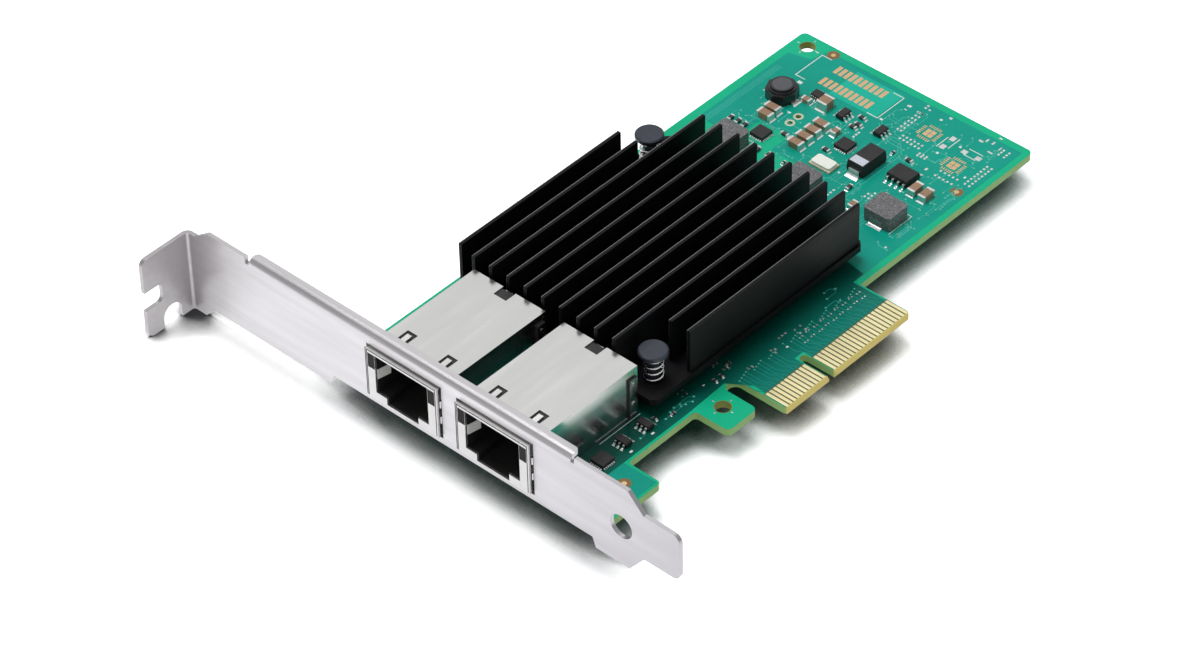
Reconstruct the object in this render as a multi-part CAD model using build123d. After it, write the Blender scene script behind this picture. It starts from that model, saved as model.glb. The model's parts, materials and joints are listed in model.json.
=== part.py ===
from build123d import *
import math
import os

# Two-port network interface card with its full-height bracket.
# Working frame, in mm: X runs along the board away from the bracket, Y runs from the
# edge fingers to the top edge, Z is up from the component side of the board.
# X = 0 is the outer face of the bracket, Y = 0 the lower edge of the finger tabs.

# Board
BOARD_T = 1.57
BOARD_X0 = 1.2
BOARD_X1 = 130.3
BOARD_TOP = 68.5
BOARD_LOW = 12.0
BOARD_CORNER_R = 1.2

# Finger tabs, key notch and hook on the lower edge
KEY_X = 57.5
KEY_W = 1.9
KEY_TOP = 7.5
TAB_NEAR_X0 = 45.3
TAB_FAR_X1 = 79.6
TAB_CORNER_R = 1.3
FINGER_PITCH = 1.0
FINGER_W = 0.7
FINGER_Y0 = 0.6
FINGER_Y1 = 5.6
FINGER_T = 0.05
NEAR_FINGERS = 11
FAR_FINGERS = 21
HOOK_X0 = 34.1
HOOK_X1 = 41.9
HOOK_LOW = 4.2
HOOK_HOLE = (38.2, 9.1)
HOOK_HOLE_R = 1.6
HOOK_R = 1.2
HOLE_SIDES = 16
FOOT_X1 = 16.5
FOOT_LOW = 4.4
CORNER_HOLE = (127.0, 64.9)
CORNER_HOLE_R = 1.6
VIA_R = 0.55

# Bracket sheet
SHEET_T = 0.86
PLATE_TOP_Z = 14.15
PLATE_LOW_Z = -3.93
BEND_R = 0.6
FLANGE_Y = 105.43
FLANGE_REACH = 11.43
FOLD_DROP = 2.49
JOG_TOP_Y = (99.2, 102.6)
JOG_LOW_Y = (98.8, 101.4)
TAPER_Y = -3.0
NECK_Y = -6.5
TONGUE_Z = (0.4, 10.5)
TIP_Y = -14.6
TONGUE_R = 1.6
PLATE_HOLE = (-1.3, 4.9)
PLATE_HOLE_R = 2.5
LIP_Y = (10.2, 88.5)
LIP_DEPTH = 2.5
LIP_BEND_R = 0.5
LIP_CORNER_R = 0.9
RELIEF_W = 0.9
LOW_LIP_Y = (5.6, 68.0)
LOW_LIP_DEPTH = 2.6

# Screw slot and rounded cut in the flange
SLOT_Z = 2.1
SLOT_W = 4.3
SLOT_X = -7.2
SLOT_R = 1.2
CUT_X = -5.25
CUT_R = 2.25
CUT_TOP_Z = -2.1
FLANGE_CORNER_R = 1.5

# Board fixings: two screws through the board into drawn collars on the bracket's tabs
FIX_X = 5.2
FIX_Y = (9.1, 64.0)
FIX_HOLE_R = 1.7
TAB_END_X = 8.9
TAB_W = 6.8
TAB_CORNER = 1.0
COLLAR_R = 2.05
COLLAR_BORE_R = 1.5
COLLAR_DROP = 0.9
SCREW_R = 1.45
SCREW_HEAD_R = 2.75
SCREW_HEAD_T = 1.9
SCREW_END_Z = -4.0
ROUND_SIDES = 24

# Jacks
JACK_Y = (49.95, 28.05)
JACK_W = 17.4
JACK_H = 11.2
JACK_X0 = -0.8
JACK_X1 = 27.2
SHIELD_T = 0.3
FINGER_SPRING_T = 0.2
ROOF_T = 0.9
OPEN_HALF_W = 6.3
OPEN_Z = (2.0, JACK_H - ROOF_T)
LATCH_HALF_W = 3.7
LATCH_Z = 0.5
PLUG_DEPTH = 12.6
LIGHT_EDGE = 0.65
LIGHT_W = 1.45
LIGHT_H = 3.1
LIGHT_Y = (JACK_W / 2 - LIGHT_EDGE - LIGHT_W, JACK_W / 2 - LIGHT_EDGE)
LIGHT_Z = (JACK_H - ROOF_T - LIGHT_H, JACK_H - ROOF_T)
LIGHT_DEPTH = 7.0
CUT_GAP = 0.4
PEG_X = 8.4
PEG_Y = 5.72
CONTACT_T = 0.3
CONTACT_ROOF_GAP = 0.25
CONTACT_END_Z = 6.8
PEG_R = 1.6
HOLE_GAP = 0.1
PEG_DROP = 2.4
CONTACTS = 8
CONTACT_PITCH = 1.02
PIN_DROP = 2.7
PIN_SIDE = 0.5
PIN_HOLE_R = 0.45
PIN_PITCH = 2.54
PIN_ROWS_X = (17.4, 19.9)
LIGHT_PIN_X = 23.9
LIGHT_PIN_EDGE = 2.5
SLIT_X = 5.7
SHIELD_TAB_X = 13.0
SHIELD_TAB_W = 1.5
SHIELD_TAB_HOLE_R = 0.95

# Heatsink, pad and controller
SINK_X = (27.9, 85.6)
SINK_Y = (16.2, 64.5)
SINK_Z0 = 2.4
SINK_BASE_T = 1.4
SINK_TOP_Z = 13.25
FIN_COUNT = 12
FIN_Y0 = 63.7
FIN_PITCH = 4.24
FIN_T = 0.75
SHORT_FINS_END_X = 71.6
SHORT_FINS_START_X = 38.1
CHIP_X = 56.75
CHIP_Y = 40.4
CHIP_SIDE = 25.0
CHIP_CAP_SIDE = 21.0
CHIP_SUBSTRATE_T = 0.56
CHIP_TOP_Z = 2.0
PAD_SIDE = 20.0

# Spring-loaded push pins
PUSH_PINS = ((77.75, 61.8), (33.1, 20.9))
PUSH_CAP_R = 2.8
PUSH_CAP_TOP_Z = 10.2
PUSH_CAP_T = 0.85
PUSH_CAP_EDGE = 0.25
PUSH_NECK_R = 2.1
PUSH_NECK_H = 0.75
PUSH_SEAT_Z = PUSH_CAP_TOP_Z - PUSH_CAP_T - PUSH_NECK_H
PUSH_SHANK_R = 1.3
PUSH_HOLE_R = 1.45
BARB_R = 1.8
BARB_H = 0.5
BARB_LEAN = 26
BARB_TIP_Z = -3.9
PUSH_SLIT_W = 0.7
SPRING_R = 1.8
SPRING_WIRE_R = 0.2
SPRING_WIRE_SIDES = 3
SPRING_TURNS = 4

# Where the card lies in its own frame: middle of its outline, lowest point at zero
MID_X = (BOARD_X1 - FLANGE_REACH) / 2
MID_Y = (FLANGE_Y + TIP_Y) / 2
LOW_Z = PLATE_LOW_Z - FOLD_DROP
HOME = Pos(-MID_X, -MID_Y, -LOW_Z)

os.makedirs("parts", exist_ok=True)


def save(node, shape):
    export_step(HOME * shape, f"parts/{node}.step")


def block(x0, x1, y0, y1, z0, z1):
    return Pos((x0 + x1) / 2, (y0 + y1) / 2, (z0 + z1) / 2) * Box(x1 - x0, y1 - y0, z1 - z0)


def rod(x, y, z0, z1, r):
    return Pos(x, y, (z0 + z1) / 2) * Cylinder(r, z1 - z0)


def slab(x, y, size_x, size_y, z0, z1):
    return block(x - size_x / 2, x + size_x / 2, y - size_y / 2, y + size_y / 2, z0, z1)


def outline(points):
    return make_face(Polyline(*points, close=True))


def ribbon(points, thick):
    """Flat outline of a bent strip whose middle line runs through the points."""
    sides = ([], [])
    for i, (px, py) in enumerate(points):
        before = points[max(i - 1, 0)]
        after = points[min(i + 1, len(points) - 1)]
        a_in = math.atan2(py - before[1], px - before[0])
        a_out = math.atan2(after[1] - py, after[0] - px)
        if i == 0:
            a_in = a_out
        if i == len(points) - 1:
            a_out = a_in
        half_turn = (a_out - a_in + math.pi) % (2 * math.pi) - math.pi
        lean = a_in + half_turn / 2 + math.pi / 2
        reach = thick / 2 / math.cos(half_turn / 2)
        step = (reach * math.cos(lean), reach * math.sin(lean))
        sides[0].append((px + step[0], py + step[1]))
        sides[1].append((px - step[0], py - step[1]))
    return outline(sides[0] + sides[1][::-1])


def upright_strip(points, thick, y0, y1):
    """Bent strip drawn in X and Z, as wide as y0 to y1."""
    return Pos(0, y1, 0) * extrude(Plane.XZ * ribbon(points, thick), y1 - y0)


def circuit_board():
    left, right, top, low = BOARD_X0, BOARD_X1, BOARD_TOP, BOARD_LOW
    key0 = KEY_X - KEY_W / 2
    key1 = KEY_X + KEY_W / 2
    slot_top = low + (TAB_NEAR_X0 - HOOK_X1) / 2 - 1.2
    edge = outline([
        (left, top), (right, top), (right, low), (TAB_FAR_X1, low), (TAB_FAR_X1, 0),
        (key1, 0), (key1, KEY_TOP), (key0, KEY_TOP), (key0, 0), (TAB_NEAR_X0, 0),
        (TAB_NEAR_X0, slot_top), (HOOK_X1, slot_top), (HOOK_X1, HOOK_LOW), (HOOK_X0, HOOK_LOW),
        (HOOK_X0, low), (FOOT_X1, low), (FOOT_X1, FOOT_LOW), (left, FOOT_LOW),
    ])
    rounds = (
        ((right, top), BOARD_CORNER_R), ((right, low), BOARD_CORNER_R),
        ((TAB_FAR_X1, 0), TAB_CORNER_R), ((TAB_NEAR_X0, 0), TAB_CORNER_R),
        ((key1, KEY_TOP), 0.9), ((key0, KEY_TOP), 0.9),
        ((TAB_NEAR_X0, slot_top), 1.5), ((HOOK_X1, slot_top), 1.5),
        ((HOOK_X1, HOOK_LOW), HOOK_R), ((HOOK_X0, HOOK_LOW), HOOK_R),
        ((HOOK_X0, low), 0.8), ((FOOT_X1, low), 0.8), ((FOOT_X1, FOOT_LOW), 0.8),
    )
    for (x, y), radius in rounds:
        corner = edge.vertices().sort_by_distance((x, y, 0))[0]
        edge = fillet(corner, radius)
    for x, y, r in ((*HOOK_HOLE, HOOK_HOLE_R), (*CORNER_HOLE, CORNER_HOLE_R)):
        edge -= Pos(x, y) * Circle(r)
    covered_holes = [(x, y, PUSH_HOLE_R) for x, y in PUSH_PINS]
    covered_holes += [(FIX_X, y, FIX_HOLE_R) for y in FIX_Y]
    pin_holes = [(x, y, VIA_R) for x, y in POWER_VIAS]
    for jack_y in JACK_Y:
        for side in (-1, 1):
            tab_y = jack_y + side * (JACK_W - SHIELD_T) / 2
            covered_holes.append((PEG_X, jack_y + side * PEG_Y, PEG_R + HOLE_GAP))
            pin_holes.append((SHIELD_TAB_X, tab_y, SHIELD_TAB_HOLE_R))
        pin_holes += [(x, jack_y + dy, PIN_HOLE_R) for x, dy in JACK_PINS]
    for x, y, r in covered_holes:
        edge -= Pos(x, y) * RegularPolygon(r, HOLE_SIDES, major_radius=False)
    for x, y, r in pin_holes:
        edge -= Pos(x, y) * RegularPolygon(r, 8)
    board = Pos(0, 0, -BOARD_T) * extrude(edge, BOARD_T)
    # the tabs' lower edge is ground to a blunt point so that it starts into a socket
    grind = 0.45
    wedge = outline([(-0.1, -0.01), (grind, -0.01), (-0.1, grind * 1.6)])
    span = TAB_FAR_X1 - TAB_NEAR_X0 + 2
    ground = Pos(TAB_NEAR_X0 - 1, 0, -BOARD_T) * extrude(Plane.YZ * wedge, span)
    upper = outline([(-0.1, BOARD_T + 0.01), (grind, BOARD_T + 0.01), (-0.1, BOARD_T - grind * 1.6)])
    ground += Pos(TAB_NEAR_X0 - 1, 0, -BOARD_T) * extrude(Plane.YZ * upper, span)
    return board - ground


def edge_fingers(z0, z1):
    near_x = KEY_X - KEY_W / 2 - 0.6
    far_x = KEY_X + KEY_W / 2 + 0.6
    centres = [near_x - i * FINGER_PITCH for i in range(NEAR_FINGERS)]
    centres += [far_x + i * FINGER_PITCH for i in range(FAR_FINGERS)]
    return [slab(x, (FINGER_Y0 + FINGER_Y1) / 2, FINGER_W, FINGER_Y1 - FINGER_Y0, z0, z1)
            for x in centres]


def bracket():
    low, top = PLATE_LOW_Z, PLATE_TOP_Z
    lip_low = -BOARD_T - SHEET_T
    fold_low, fold_top = low - FOLD_DROP, top - FOLD_DROP
    bend_y = FLANGE_Y - SHEET_T - BEND_R
    plate_face = outline([
        (TAPER_Y, top), (NECK_Y, TONGUE_Z[1]), (TIP_Y, TONGUE_Z[1]), (TIP_Y, TONGUE_Z[0]),
        (NECK_Y, TONGUE_Z[0]), (TAPER_Y, low), (LOW_LIP_Y[0] - 0.9, low),
        (LOW_LIP_Y[0], lip_low + 1.0), (LOW_LIP_Y[1], lip_low + 1.0), (LOW_LIP_Y[1] + 0.9, low),
        (JOG_LOW_Y[0], low), (JOG_LOW_Y[1], fold_low), (bend_y, fold_low), (bend_y, fold_top),
        (JOG_TOP_Y[1], fold_top), (JOG_TOP_Y[0], top),
    ])
    for y, z in ((TIP_Y, TONGUE_Z[0]), (TIP_Y, TONGUE_Z[1])):
        corner = plate_face.vertices().sort_by_distance((y, z, 0))[0]
        plate_face = fillet(corner, TONGUE_R)
    plate_face -= Pos(*PLATE_HOLE) * Circle(PLATE_HOLE_R)
    for jack_y in JACK_Y:
        window = Rectangle(JACK_W + 2 * CUT_GAP, JACK_H + 2 * CUT_GAP)
        plate_face -= Pos(jack_y, JACK_H / 2) * window
    # the lips leave the flat plate, so their stretch is cut away before they are bent on
    lip_z = top - SHEET_T - LIP_BEND_R
    plate_face -= Pos((LIP_Y[0] + LIP_Y[1]) / 2, lip_z + 5) * Rectangle(
        LIP_Y[1] - LIP_Y[0] + 2 * RELIEF_W, 10)
    plate = extrude(Plane.YZ * plate_face, SHEET_T)

    # fold: quarter bend, then the flange toward the outside of the case
    fold_span = fold_top - fold_low
    bend = Pos(-BEND_R, bend_y) * (Circle(BEND_R + SHEET_T) - Circle(BEND_R))
    bend &= Pos(-BEND_R + 5, bend_y + 5) * Rectangle(10, 10)
    flange = Pos((-BEND_R - FLANGE_REACH) / 2, FLANGE_Y - SHEET_T / 2) * Rectangle(
        FLANGE_REACH - BEND_R, SHEET_T)
    fold = Pos(0, 0, fold_low) * extrude(bend + flange, fold_span)
    slot = Pos(SLOT_X - 8, SLOT_Z) * RectangleRounded(16, SLOT_W, SLOT_R)
    cut = Pos(CUT_X, CUT_TOP_Z - CUT_R) * Circle(CUT_R)
    cut += Pos(CUT_X, CUT_TOP_Z - CUT_R - 5) * Rectangle(2 * CUT_R, 10)
    fold -= Pos(0, FLANGE_Y + 1, 0) * extrude(Plane.XZ * (slot + cut), 3)
    for z in (fold_low, fold_top):
        edge = fold.edges().filter_by(Axis.Y).sort_by_distance((-FLANGE_REACH, FLANGE_Y, z))[0]
        fold = fillet(edge, FLANGE_CORNER_R)

    # top lip: the sheet rolls over toward the board and ends square
    roll = Pos(SHEET_T + LIP_BEND_R, lip_z) * (Circle(LIP_BEND_R + SHEET_T) - Circle(LIP_BEND_R))
    roll &= Pos(SHEET_T + LIP_BEND_R - 5, lip_z + 5) * Rectangle(10, 10)
    leg_x = SHEET_T + LIP_BEND_R
    leg = Pos((leg_x + LIP_DEPTH) / 2, top - SHEET_T / 2) * Rectangle(LIP_DEPTH - leg_x, SHEET_T)
    lip = Pos(0, LIP_Y[1], 0) * extrude(Plane.XZ * (roll + leg), LIP_Y[1] - LIP_Y[0])
    for y in LIP_Y:
        edge = lip.edges().filter_by(Axis.Z).sort_by_distance((LIP_DEPTH, y, top))[0]
        lip = fillet(edge, LIP_CORNER_R)

    # lower lip: bends under the board's edge and carries the two screw tabs
    low_z = lip_low + 1.0
    low_roll = Pos(1.0, low_z) * (Circle(1.0) - Circle(1.0 - SHEET_T))
    low_roll &= Pos(1.0 - 5, low_z - 5) * Rectangle(10, 10)
    low_leg = Pos((1.0 + LOW_LIP_DEPTH) / 2, lip_low + SHEET_T / 2) * Rectangle(
        LOW_LIP_DEPTH - 1.0, SHEET_T)
    low_lip = Pos(0, LOW_LIP_Y[1], 0) * extrude(
        Plane.XZ * (low_roll + low_leg), LOW_LIP_Y[1] - LOW_LIP_Y[0])

    sheet = plate + fold + lip + low_lip
    for y in FIX_Y:
        tab = block(1.5, TAB_END_X, y - TAB_W / 2, y + TAB_W / 2, lip_low, lip_low + SHEET_T)
        for corner_y in (y - TAB_W / 2, y + TAB_W / 2):
            edge = tab.edges().filter_by(Axis.Z).sort_by_distance((TAB_END_X, corner_y, lip_low))[0]
            tab = chamfer(edge, TAB_CORNER)
        spot = Pos(FIX_X, y, lip_low - COLLAR_DROP)
        sheet += tab + spot * extrude(RegularPolygon(COLLAR_R, HOLE_SIDES), COLLAR_DROP)
        bore = RegularPolygon(COLLAR_BORE_R, HOLE_SIDES, major_radius=False)
        sheet -= Pos(0, 0, -1) * spot * extrude(bore, COLLAR_DROP + SHEET_T + 1.5)
    return sheet


def bracket_screw(y):
    """Round-headed screw with a cross recess, its head on the component side."""
    head = extrude(RegularPolygon(SCREW_HEAD_R, ROUND_SIDES), SCREW_HEAD_T)
    head = chamfer(head.faces().sort_by(Axis.Z)[-1].edges(), SCREW_HEAD_T / 2)
    for size in ((2.8, 0.55), (0.55, 2.8)):
        head -= Pos(0, 0, SCREW_HEAD_T) * Box(size[0], size[1], 2.0)
    shank = extrude(RegularPolygon(SCREW_R, HOLE_SIDES), SCREW_END_Z)
    return Pos(FIX_X, y, 0) * (head + shank)


def plug_mouth(grow=0.0):
    """Outline, in Y and Z about the jack's middle, of the space that a plug enters."""
    body = Pos(0, (OPEN_Z[0] + OPEN_Z[1]) / 2) * Rectangle(
        2 * (OPEN_HALF_W + grow), OPEN_Z[1] - OPEN_Z[0] + 2 * grow)
    latch = Pos(0, (LATCH_Z + OPEN_Z[0]) / 2) * Rectangle(
        2 * (LATCH_HALF_W + grow), OPEN_Z[0] - LATCH_Z + 2 * grow)
    return body + latch


def light_windows(grow=0.0):
    wide = LIGHT_Y[1] - LIGHT_Y[0] + 2 * grow
    tall = LIGHT_Z[1] - LIGHT_Z[0] + 2 * grow
    centre_z = (LIGHT_Z[0] + LIGHT_Z[1]) / 2
    reach = (LIGHT_Y[0] + LIGHT_Y[1]) / 2
    return [Pos(side * reach, centre_z) * Rectangle(wide, tall) for side in (-1, 1)]


def jack_shield(jack_y):
    """Folded tin shield: a thin box open at the foot, with spring fingers and tongues."""
    half, length = JACK_W / 2, JACK_X1 - JACK_X0
    shell = block(0, length, -half, half, 0.0, JACK_H)
    shell -= block(SHIELD_T, length - SHIELD_T, SHIELD_T - half, half - SHIELD_T, -1,
                   JACK_H - SHIELD_T)
    front = plug_mouth(0.15)
    for window in light_windows(0.1):
        front += window
    shell -= Pos(-1, 0, 0) * extrude(Plane.YZ * front, 1 + SHIELD_T + 0.1)
    # latch slot in the top behind, where the rear cover clips down
    shell -= block(length - 2.6, length + 1, -1.5, 1.5, JACK_H - 1.2, JACK_H + 1)
    shell += block(length - SHIELD_T, length, -0.8, 0.8, JACK_H - 1.3, JACK_H - 0.4)
    tilt = 4.0
    for y in (-4.9, 4.9):
        # U-shaped slit round a spring tongue
        shell -= block(SLIT_X, SLIT_X + 2.6, y - 1.2, y + 1.2, JACK_H - SHIELD_T - 0.01, JACK_H + 1)
        tongue = block(0, 1.9, -0.55, 0.55, 0, SHIELD_T)
        shell += Pos(SLIT_X - 0.1, y, JACK_H - SHIELD_T) * Rot(0, -tilt, 0) * tongue
    for side in (-1, 1):
        wall = side * (half - SHIELD_T / 2)
        # spring fingers bow out of each side wall and bear on the edge of the bracket's window
        bow_out = CUT_GAP + SHIELD_T / 2 - FINGER_SPRING_T / 2 - 0.02
        plate_x = SHEET_T / 2 - JACK_X0
        for z in (3.0, 6.6):
            shell -= block(0.55, 6.0, wall - 0.4, wall + 0.4, z - 0.2, z + 1.8)
            bow = ribbon([(6.1, 0), (3.0, 0.15), (plate_x, bow_out), (0.7, 0.1)],
                         FINGER_SPRING_T)
            finger = extrude(bow, 1.6)
            if side < 0:
                finger = mirror(finger, Plane.XZ)
            shell += Pos(0, wall, z) * finger
        # seam of the rear cover: upright, then leaning back to the top corner
        seam = ribbon([(length - 2.1, 0.0), (length - 2.1, 7.6), (length - 0.6, JACK_H - 0.6)], 0.16)
        seam_cut = extrude(Plane.XZ * seam, 2, both=True)
        shell -= Pos(0, wall, 0) * seam_cut & block(0, length, wall - 0.4, wall + 0.4, 0, JACK_H)
        for z in (3.0, 7.4):
            bump = extrude(Plane.XZ * RegularPolygon(0.4, 6), 0.1, both=True)
            shell += Pos(length - 1.1, side * (half + 0.04), z) * bump
        tab_x = SHIELD_TAB_X - JACK_X0
        shell += block(tab_x - SHIELD_TAB_W / 2, tab_x + SHIELD_TAB_W / 2, wall - SHIELD_T / 2,
                       wall + SHIELD_T / 2, -PIN_DROP, 0.2)
    return Pos(JACK_X0, jack_y, 0) * shell


def jack_housing(jack_y):
    """Moulded insulator: plug space in front, a bay for the magnetics module behind."""
    half = JACK_W / 2 - SHIELD_T
    length = JACK_X1 - JACK_X0 - SHIELD_T
    body = block(SHIELD_T, length, -half, half, 0, JACK_H - SHIELD_T)
    body -= Pos(SHIELD_T - 1, 0, 0) * extrude(Plane.YZ * plug_mouth(), PLUG_DEPTH + 1)
    for window in light_windows():
        body -= Pos(SHIELD_T - 1, 0, 0) * extrude(Plane.YZ * window, LIGHT_DEPTH + 1)
    bay = SHIELD_T + PLUG_DEPTH
    body -= block(bay, length + 1, -half + 1, half - 1, -1, OPEN_Z[1])
    # two round pegs set the jack's place on the board
    for side in (-1, 1):
        x = PEG_X - JACK_X0
        body += rod(x, side * PEG_Y, -PEG_DROP, 0, PEG_R)
    return Pos(JACK_X0, jack_y, 0) * body


def magnetics_module(jack_y):
    half = JACK_W / 2 - SHIELD_T - 1.05
    x0 = JACK_X0 + SHIELD_T + PLUG_DEPTH
    body = block(x0, JACK_X1 - SHIELD_T - 0.1, jack_y - half, jack_y + half, 0.1, OPEN_Z[1] - 0.05)
    return body


def jack_contacts(jack_y):
    """Eight spring wires: along the roof of the plug space, then back down into it."""
    x0 = JACK_X0 + SHIELD_T
    roof_z = OPEN_Z[1] - CONTACT_ROOF_GAP - CONTACT_T / 2
    path = [(x0 + PLUG_DEPTH, roof_z), (x0 + 3.2, roof_z), (x0 + 2.5, roof_z - 0.6),
            (x0 + 9.6, CONTACT_END_Z)]
    wires = []
    for i in range(CONTACTS):
        y = jack_y + (i - (CONTACTS - 1) / 2) * CONTACT_PITCH
        wires.append(upright_strip(path, CONTACT_T, y - 0.22, y + 0.22))
    return wires


def status_lights(jack_y):
    reach = (LIGHT_Y[0] + LIGHT_Y[1]) / 2
    return [slab(JACK_X0 + (0.05 + SHIELD_T + LIGHT_DEPTH) / 2, jack_y + side * reach,
                 SHIELD_T + LIGHT_DEPTH - 0.05, LIGHT_Y[1] - LIGHT_Y[0], *LIGHT_Z)
            for side in (-1, 1)]


# Pin field of one jack: two staggered rows of four, then the four leads of the lights
JACK_PINS = [(PIN_ROWS_X[0], (i - 1.75) * PIN_PITCH) for i in range(4)]
JACK_PINS += [(PIN_ROWS_X[1], (i - 1.25) * PIN_PITCH) for i in range(4)]
for pin_y in (JACK_W / 2 - LIGHT_PIN_EDGE, JACK_W / 2 - LIGHT_PIN_EDGE - PIN_PITCH):
    JACK_PINS += [(LIGHT_PIN_X, -pin_y), (LIGHT_PIN_X, pin_y)]


def jack_pins(jack_y):
    return [slab(x, jack_y + dy, PIN_SIDE, PIN_SIDE, -PIN_DROP, 0.1) for x, dy in JACK_PINS]


def heatsink():
    base = block(*SINK_X, *SINK_Y, SINK_Z0, SINK_Z0 + SINK_BASE_T)
    base = chamfer(base.edges().filter_by(Axis.Z), 1.0)
    for x, y in PUSH_PINS:
        base -= rod(x, y, 0, 9, PUSH_HOLE_R)
    for i in range(FIN_COUNT):
        y = FIN_Y0 - i * FIN_PITCH
        x0 = SHORT_FINS_START_X if i >= FIN_COUNT - 2 else SINK_X[0]
        x1 = SHORT_FINS_END_X if i < 2 else SINK_X[1]
        x0 = x0 + (1.0 if x0 == SINK_X[0] and i in (0, FIN_COUNT - 1) else 0)
        x1 = x1 - (1.0 if x1 == SINK_X[1] and i in (0, FIN_COUNT - 1) else 0)
        base += block(x0, x1, y - FIN_T / 2, y + FIN_T / 2, SINK_Z0 + SINK_BASE_T - 0.1, SINK_TOP_Z)
    return base


def controller_cap():
    low = Pos(CHIP_X, CHIP_Y, CHIP_SUBSTRATE_T) * Rectangle(CHIP_CAP_SIDE, CHIP_CAP_SIDE)
    return extrude(low, CHIP_TOP_Z - CHIP_SUBSTRATE_T, taper=12)


def push_pin(x, y):
    """Cap, neck and shank in one, split at the foot into two barbs that catch under the board."""
    barb_low = -BOARD_T - 0.02 - BARB_H
    cap = rod(0, 0, PUSH_CAP_TOP_Z - PUSH_CAP_T, PUSH_CAP_TOP_Z, PUSH_CAP_R)
    pin = chamfer(cap.faces().sort_by(Axis.Z)[-1].edges(), PUSH_CAP_EDGE)
    neck = Pos(0, 0, PUSH_SEAT_Z) * RegularPolygon(PUSH_NECK_R, ROUND_SIDES)
    pin += extrude(neck, PUSH_NECK_H + 0.1)
    shank = RegularPolygon(PUSH_SHANK_R, HOLE_SIDES)
    barb = Pos(0, 0, barb_low) * RegularPolygon(BARB_R, HOLE_SIDES)
    pin += Pos(0, 0, barb_low) * extrude(shank, PUSH_SEAT_Z + 0.1 - barb_low)
    pin += extrude(barb, BARB_H)
    pin += extrude(barb, BARB_TIP_Z - barb_low, taper=BARB_LEAN)
    pin -= block(-3, 3, -PUSH_SLIT_W / 2, PUSH_SLIT_W / 2, BARB_TIP_Z - 1, 1.2)
    return Pos(x, y, 0) * pin


def push_spring(x, y):
    low = SINK_Z0 + SINK_BASE_T + SPRING_WIRE_R
    high = PUSH_SEAT_Z - SPRING_WIRE_R
    turn = (high - low) / SPRING_TURNS
    coil = Helix(turn, high - low, SPRING_R)
    start = Plane(coil @ 0, z_dir=coil % 0)
    wire = sweep(start * RegularPolygon(SPRING_WIRE_R, SPRING_WIRE_SIDES), path=coil, is_frenet=True)
    return Pos(x, y, low) * wire


def gull_lead(x_body, x_tip, top_z, width, y, thick=0.2):
    """One bent lead from the package side at x_body to its foot at x_tip."""
    way = 1 if x_tip > x_body else -1
    reach = abs(x_tip - x_body)
    knee = x_body + way * 0.3 * reach
    heel = x_tip - way * 0.45 * reach
    path = [(x_body, top_z), (knee, top_z), (heel, thick / 2), (x_tip, thick / 2)]
    return upright_strip(path, thick, y - width / 2, y + width / 2)


def leaded_chip(body_x, body_y, body_z, span_x, pitch, rows, lead_w):
    """Moulded body with gull-wing leads along both X sides, about the origin."""
    half = body_z / 2 + 0.1
    upper = extrude(Pos(0, 0, half) * Rectangle(body_x, body_y), body_z - half, taper=8)
    lower = extrude(Pos(0, 0, half) * Rectangle(body_x, body_y), -(half - 0.1), taper=8)
    body = upper + lower
    leads = []
    for side in (-1, 1):
        for i in range(rows):
            y = (i - (rows - 1) / 2) * pitch
            leads.append(gull_lead(side * body_x / 2, side * span_x / 2, half, lead_w, y))
    return body, leads


def capped_chip(size, cap):
    """Chip part lying along X: body and its two plated end caps."""
    length, width, height = size
    body = slab(0, 0, length - 2 * cap, width - 0.04, 0, height - 0.02)
    ends = [slab(side * (length - cap) / 2, 0, cap, width, 0, height) for side in (-1, 1)]
    return body, ends


# Parts on the board, each as (x, y, quarter turn from X)
POWER_VIAS = ((109.4, 52.2), (106.9, 52.2))
LARGE_CAPS = [(105.1, 56.8, 1), (107.4, 57.0, 1)]
LARGE_CAPS += [(102.2 + 2.5 * i, 46.8, 1) for i in range(4)]
LARGE_CAPS += [(106.6, 21.2, 0), (106.5, 18.6, 0)]
LARGE_CAP = (3.2, 1.7, 1.4)
BULK_CAP = (115.0, 50.2, 0)
BULK_CAP_SIZE = (2.9, 2.4, 1.9)
MID_CAPS = [(110.0, 43.5, 0), (95.6, 27.2, 0), (113.8, 53.9, 1)]
MID_CAP = (2.0, 1.25, 1.0)
SMALL_CHIPS = [(100.5, 61.5, 0), (100.6, 59.8, 0), (100.5, 58.1, 0), (113.5, 42.2, 1)]
SMALL_CHIPS += [(114.7, 41.8, 1), (116.8, 42.6, 1), (104.9, 41.6, 1), (112.7, 27.8, 1)]
SMALL_CHIPS += [(99.3, 31.2, 0), (103.4, 50.5, 1), (96.6, 48.7, 0), (96.5, 51.4, 0)]
SMALL_CHIP = (1.6, 0.8, 0.6)
TINY_CHIPS = [(45.6, 17.6, 0), (47.3, 15.8, 0), (42.3, 14.6, 1), (44.0, 14.6, 1)]
TINY_CHIPS += [(31.0, 14.4, 0), (27.8, 16.0, 1), (112.6, 31.6, 0), (96.9, 45.2, 0)]
TINY_CHIP = (1.0, 0.5, 0.4)
POWER_INDUCTORS = ((94.4, 57.0), (93.7, 38.2), (97.1, 20.6))
INDUCTOR_SIZE = (5.9, 6.3, 3.0)
DRUM = (112.1, 58.6)
CONVERTERS = ((100.6, 54.0), (108.2, 39.6), (13.7, 15.6))
CONVERTER_SIDE = 3.1
CRYSTAL = (101.4, 39.1)
TANTALUM = (106.4, 32.9)
MEMORY_CHIP = (108.05, 25.4)
SMALL_LEADED = ((115.1, 45.8, 1), (115.7, 37.1, 1), (25.4, 16.0, 0), (19.6, 16.0, 0))
FINE_CHIP = (116.5, 53.3, 0)


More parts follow.
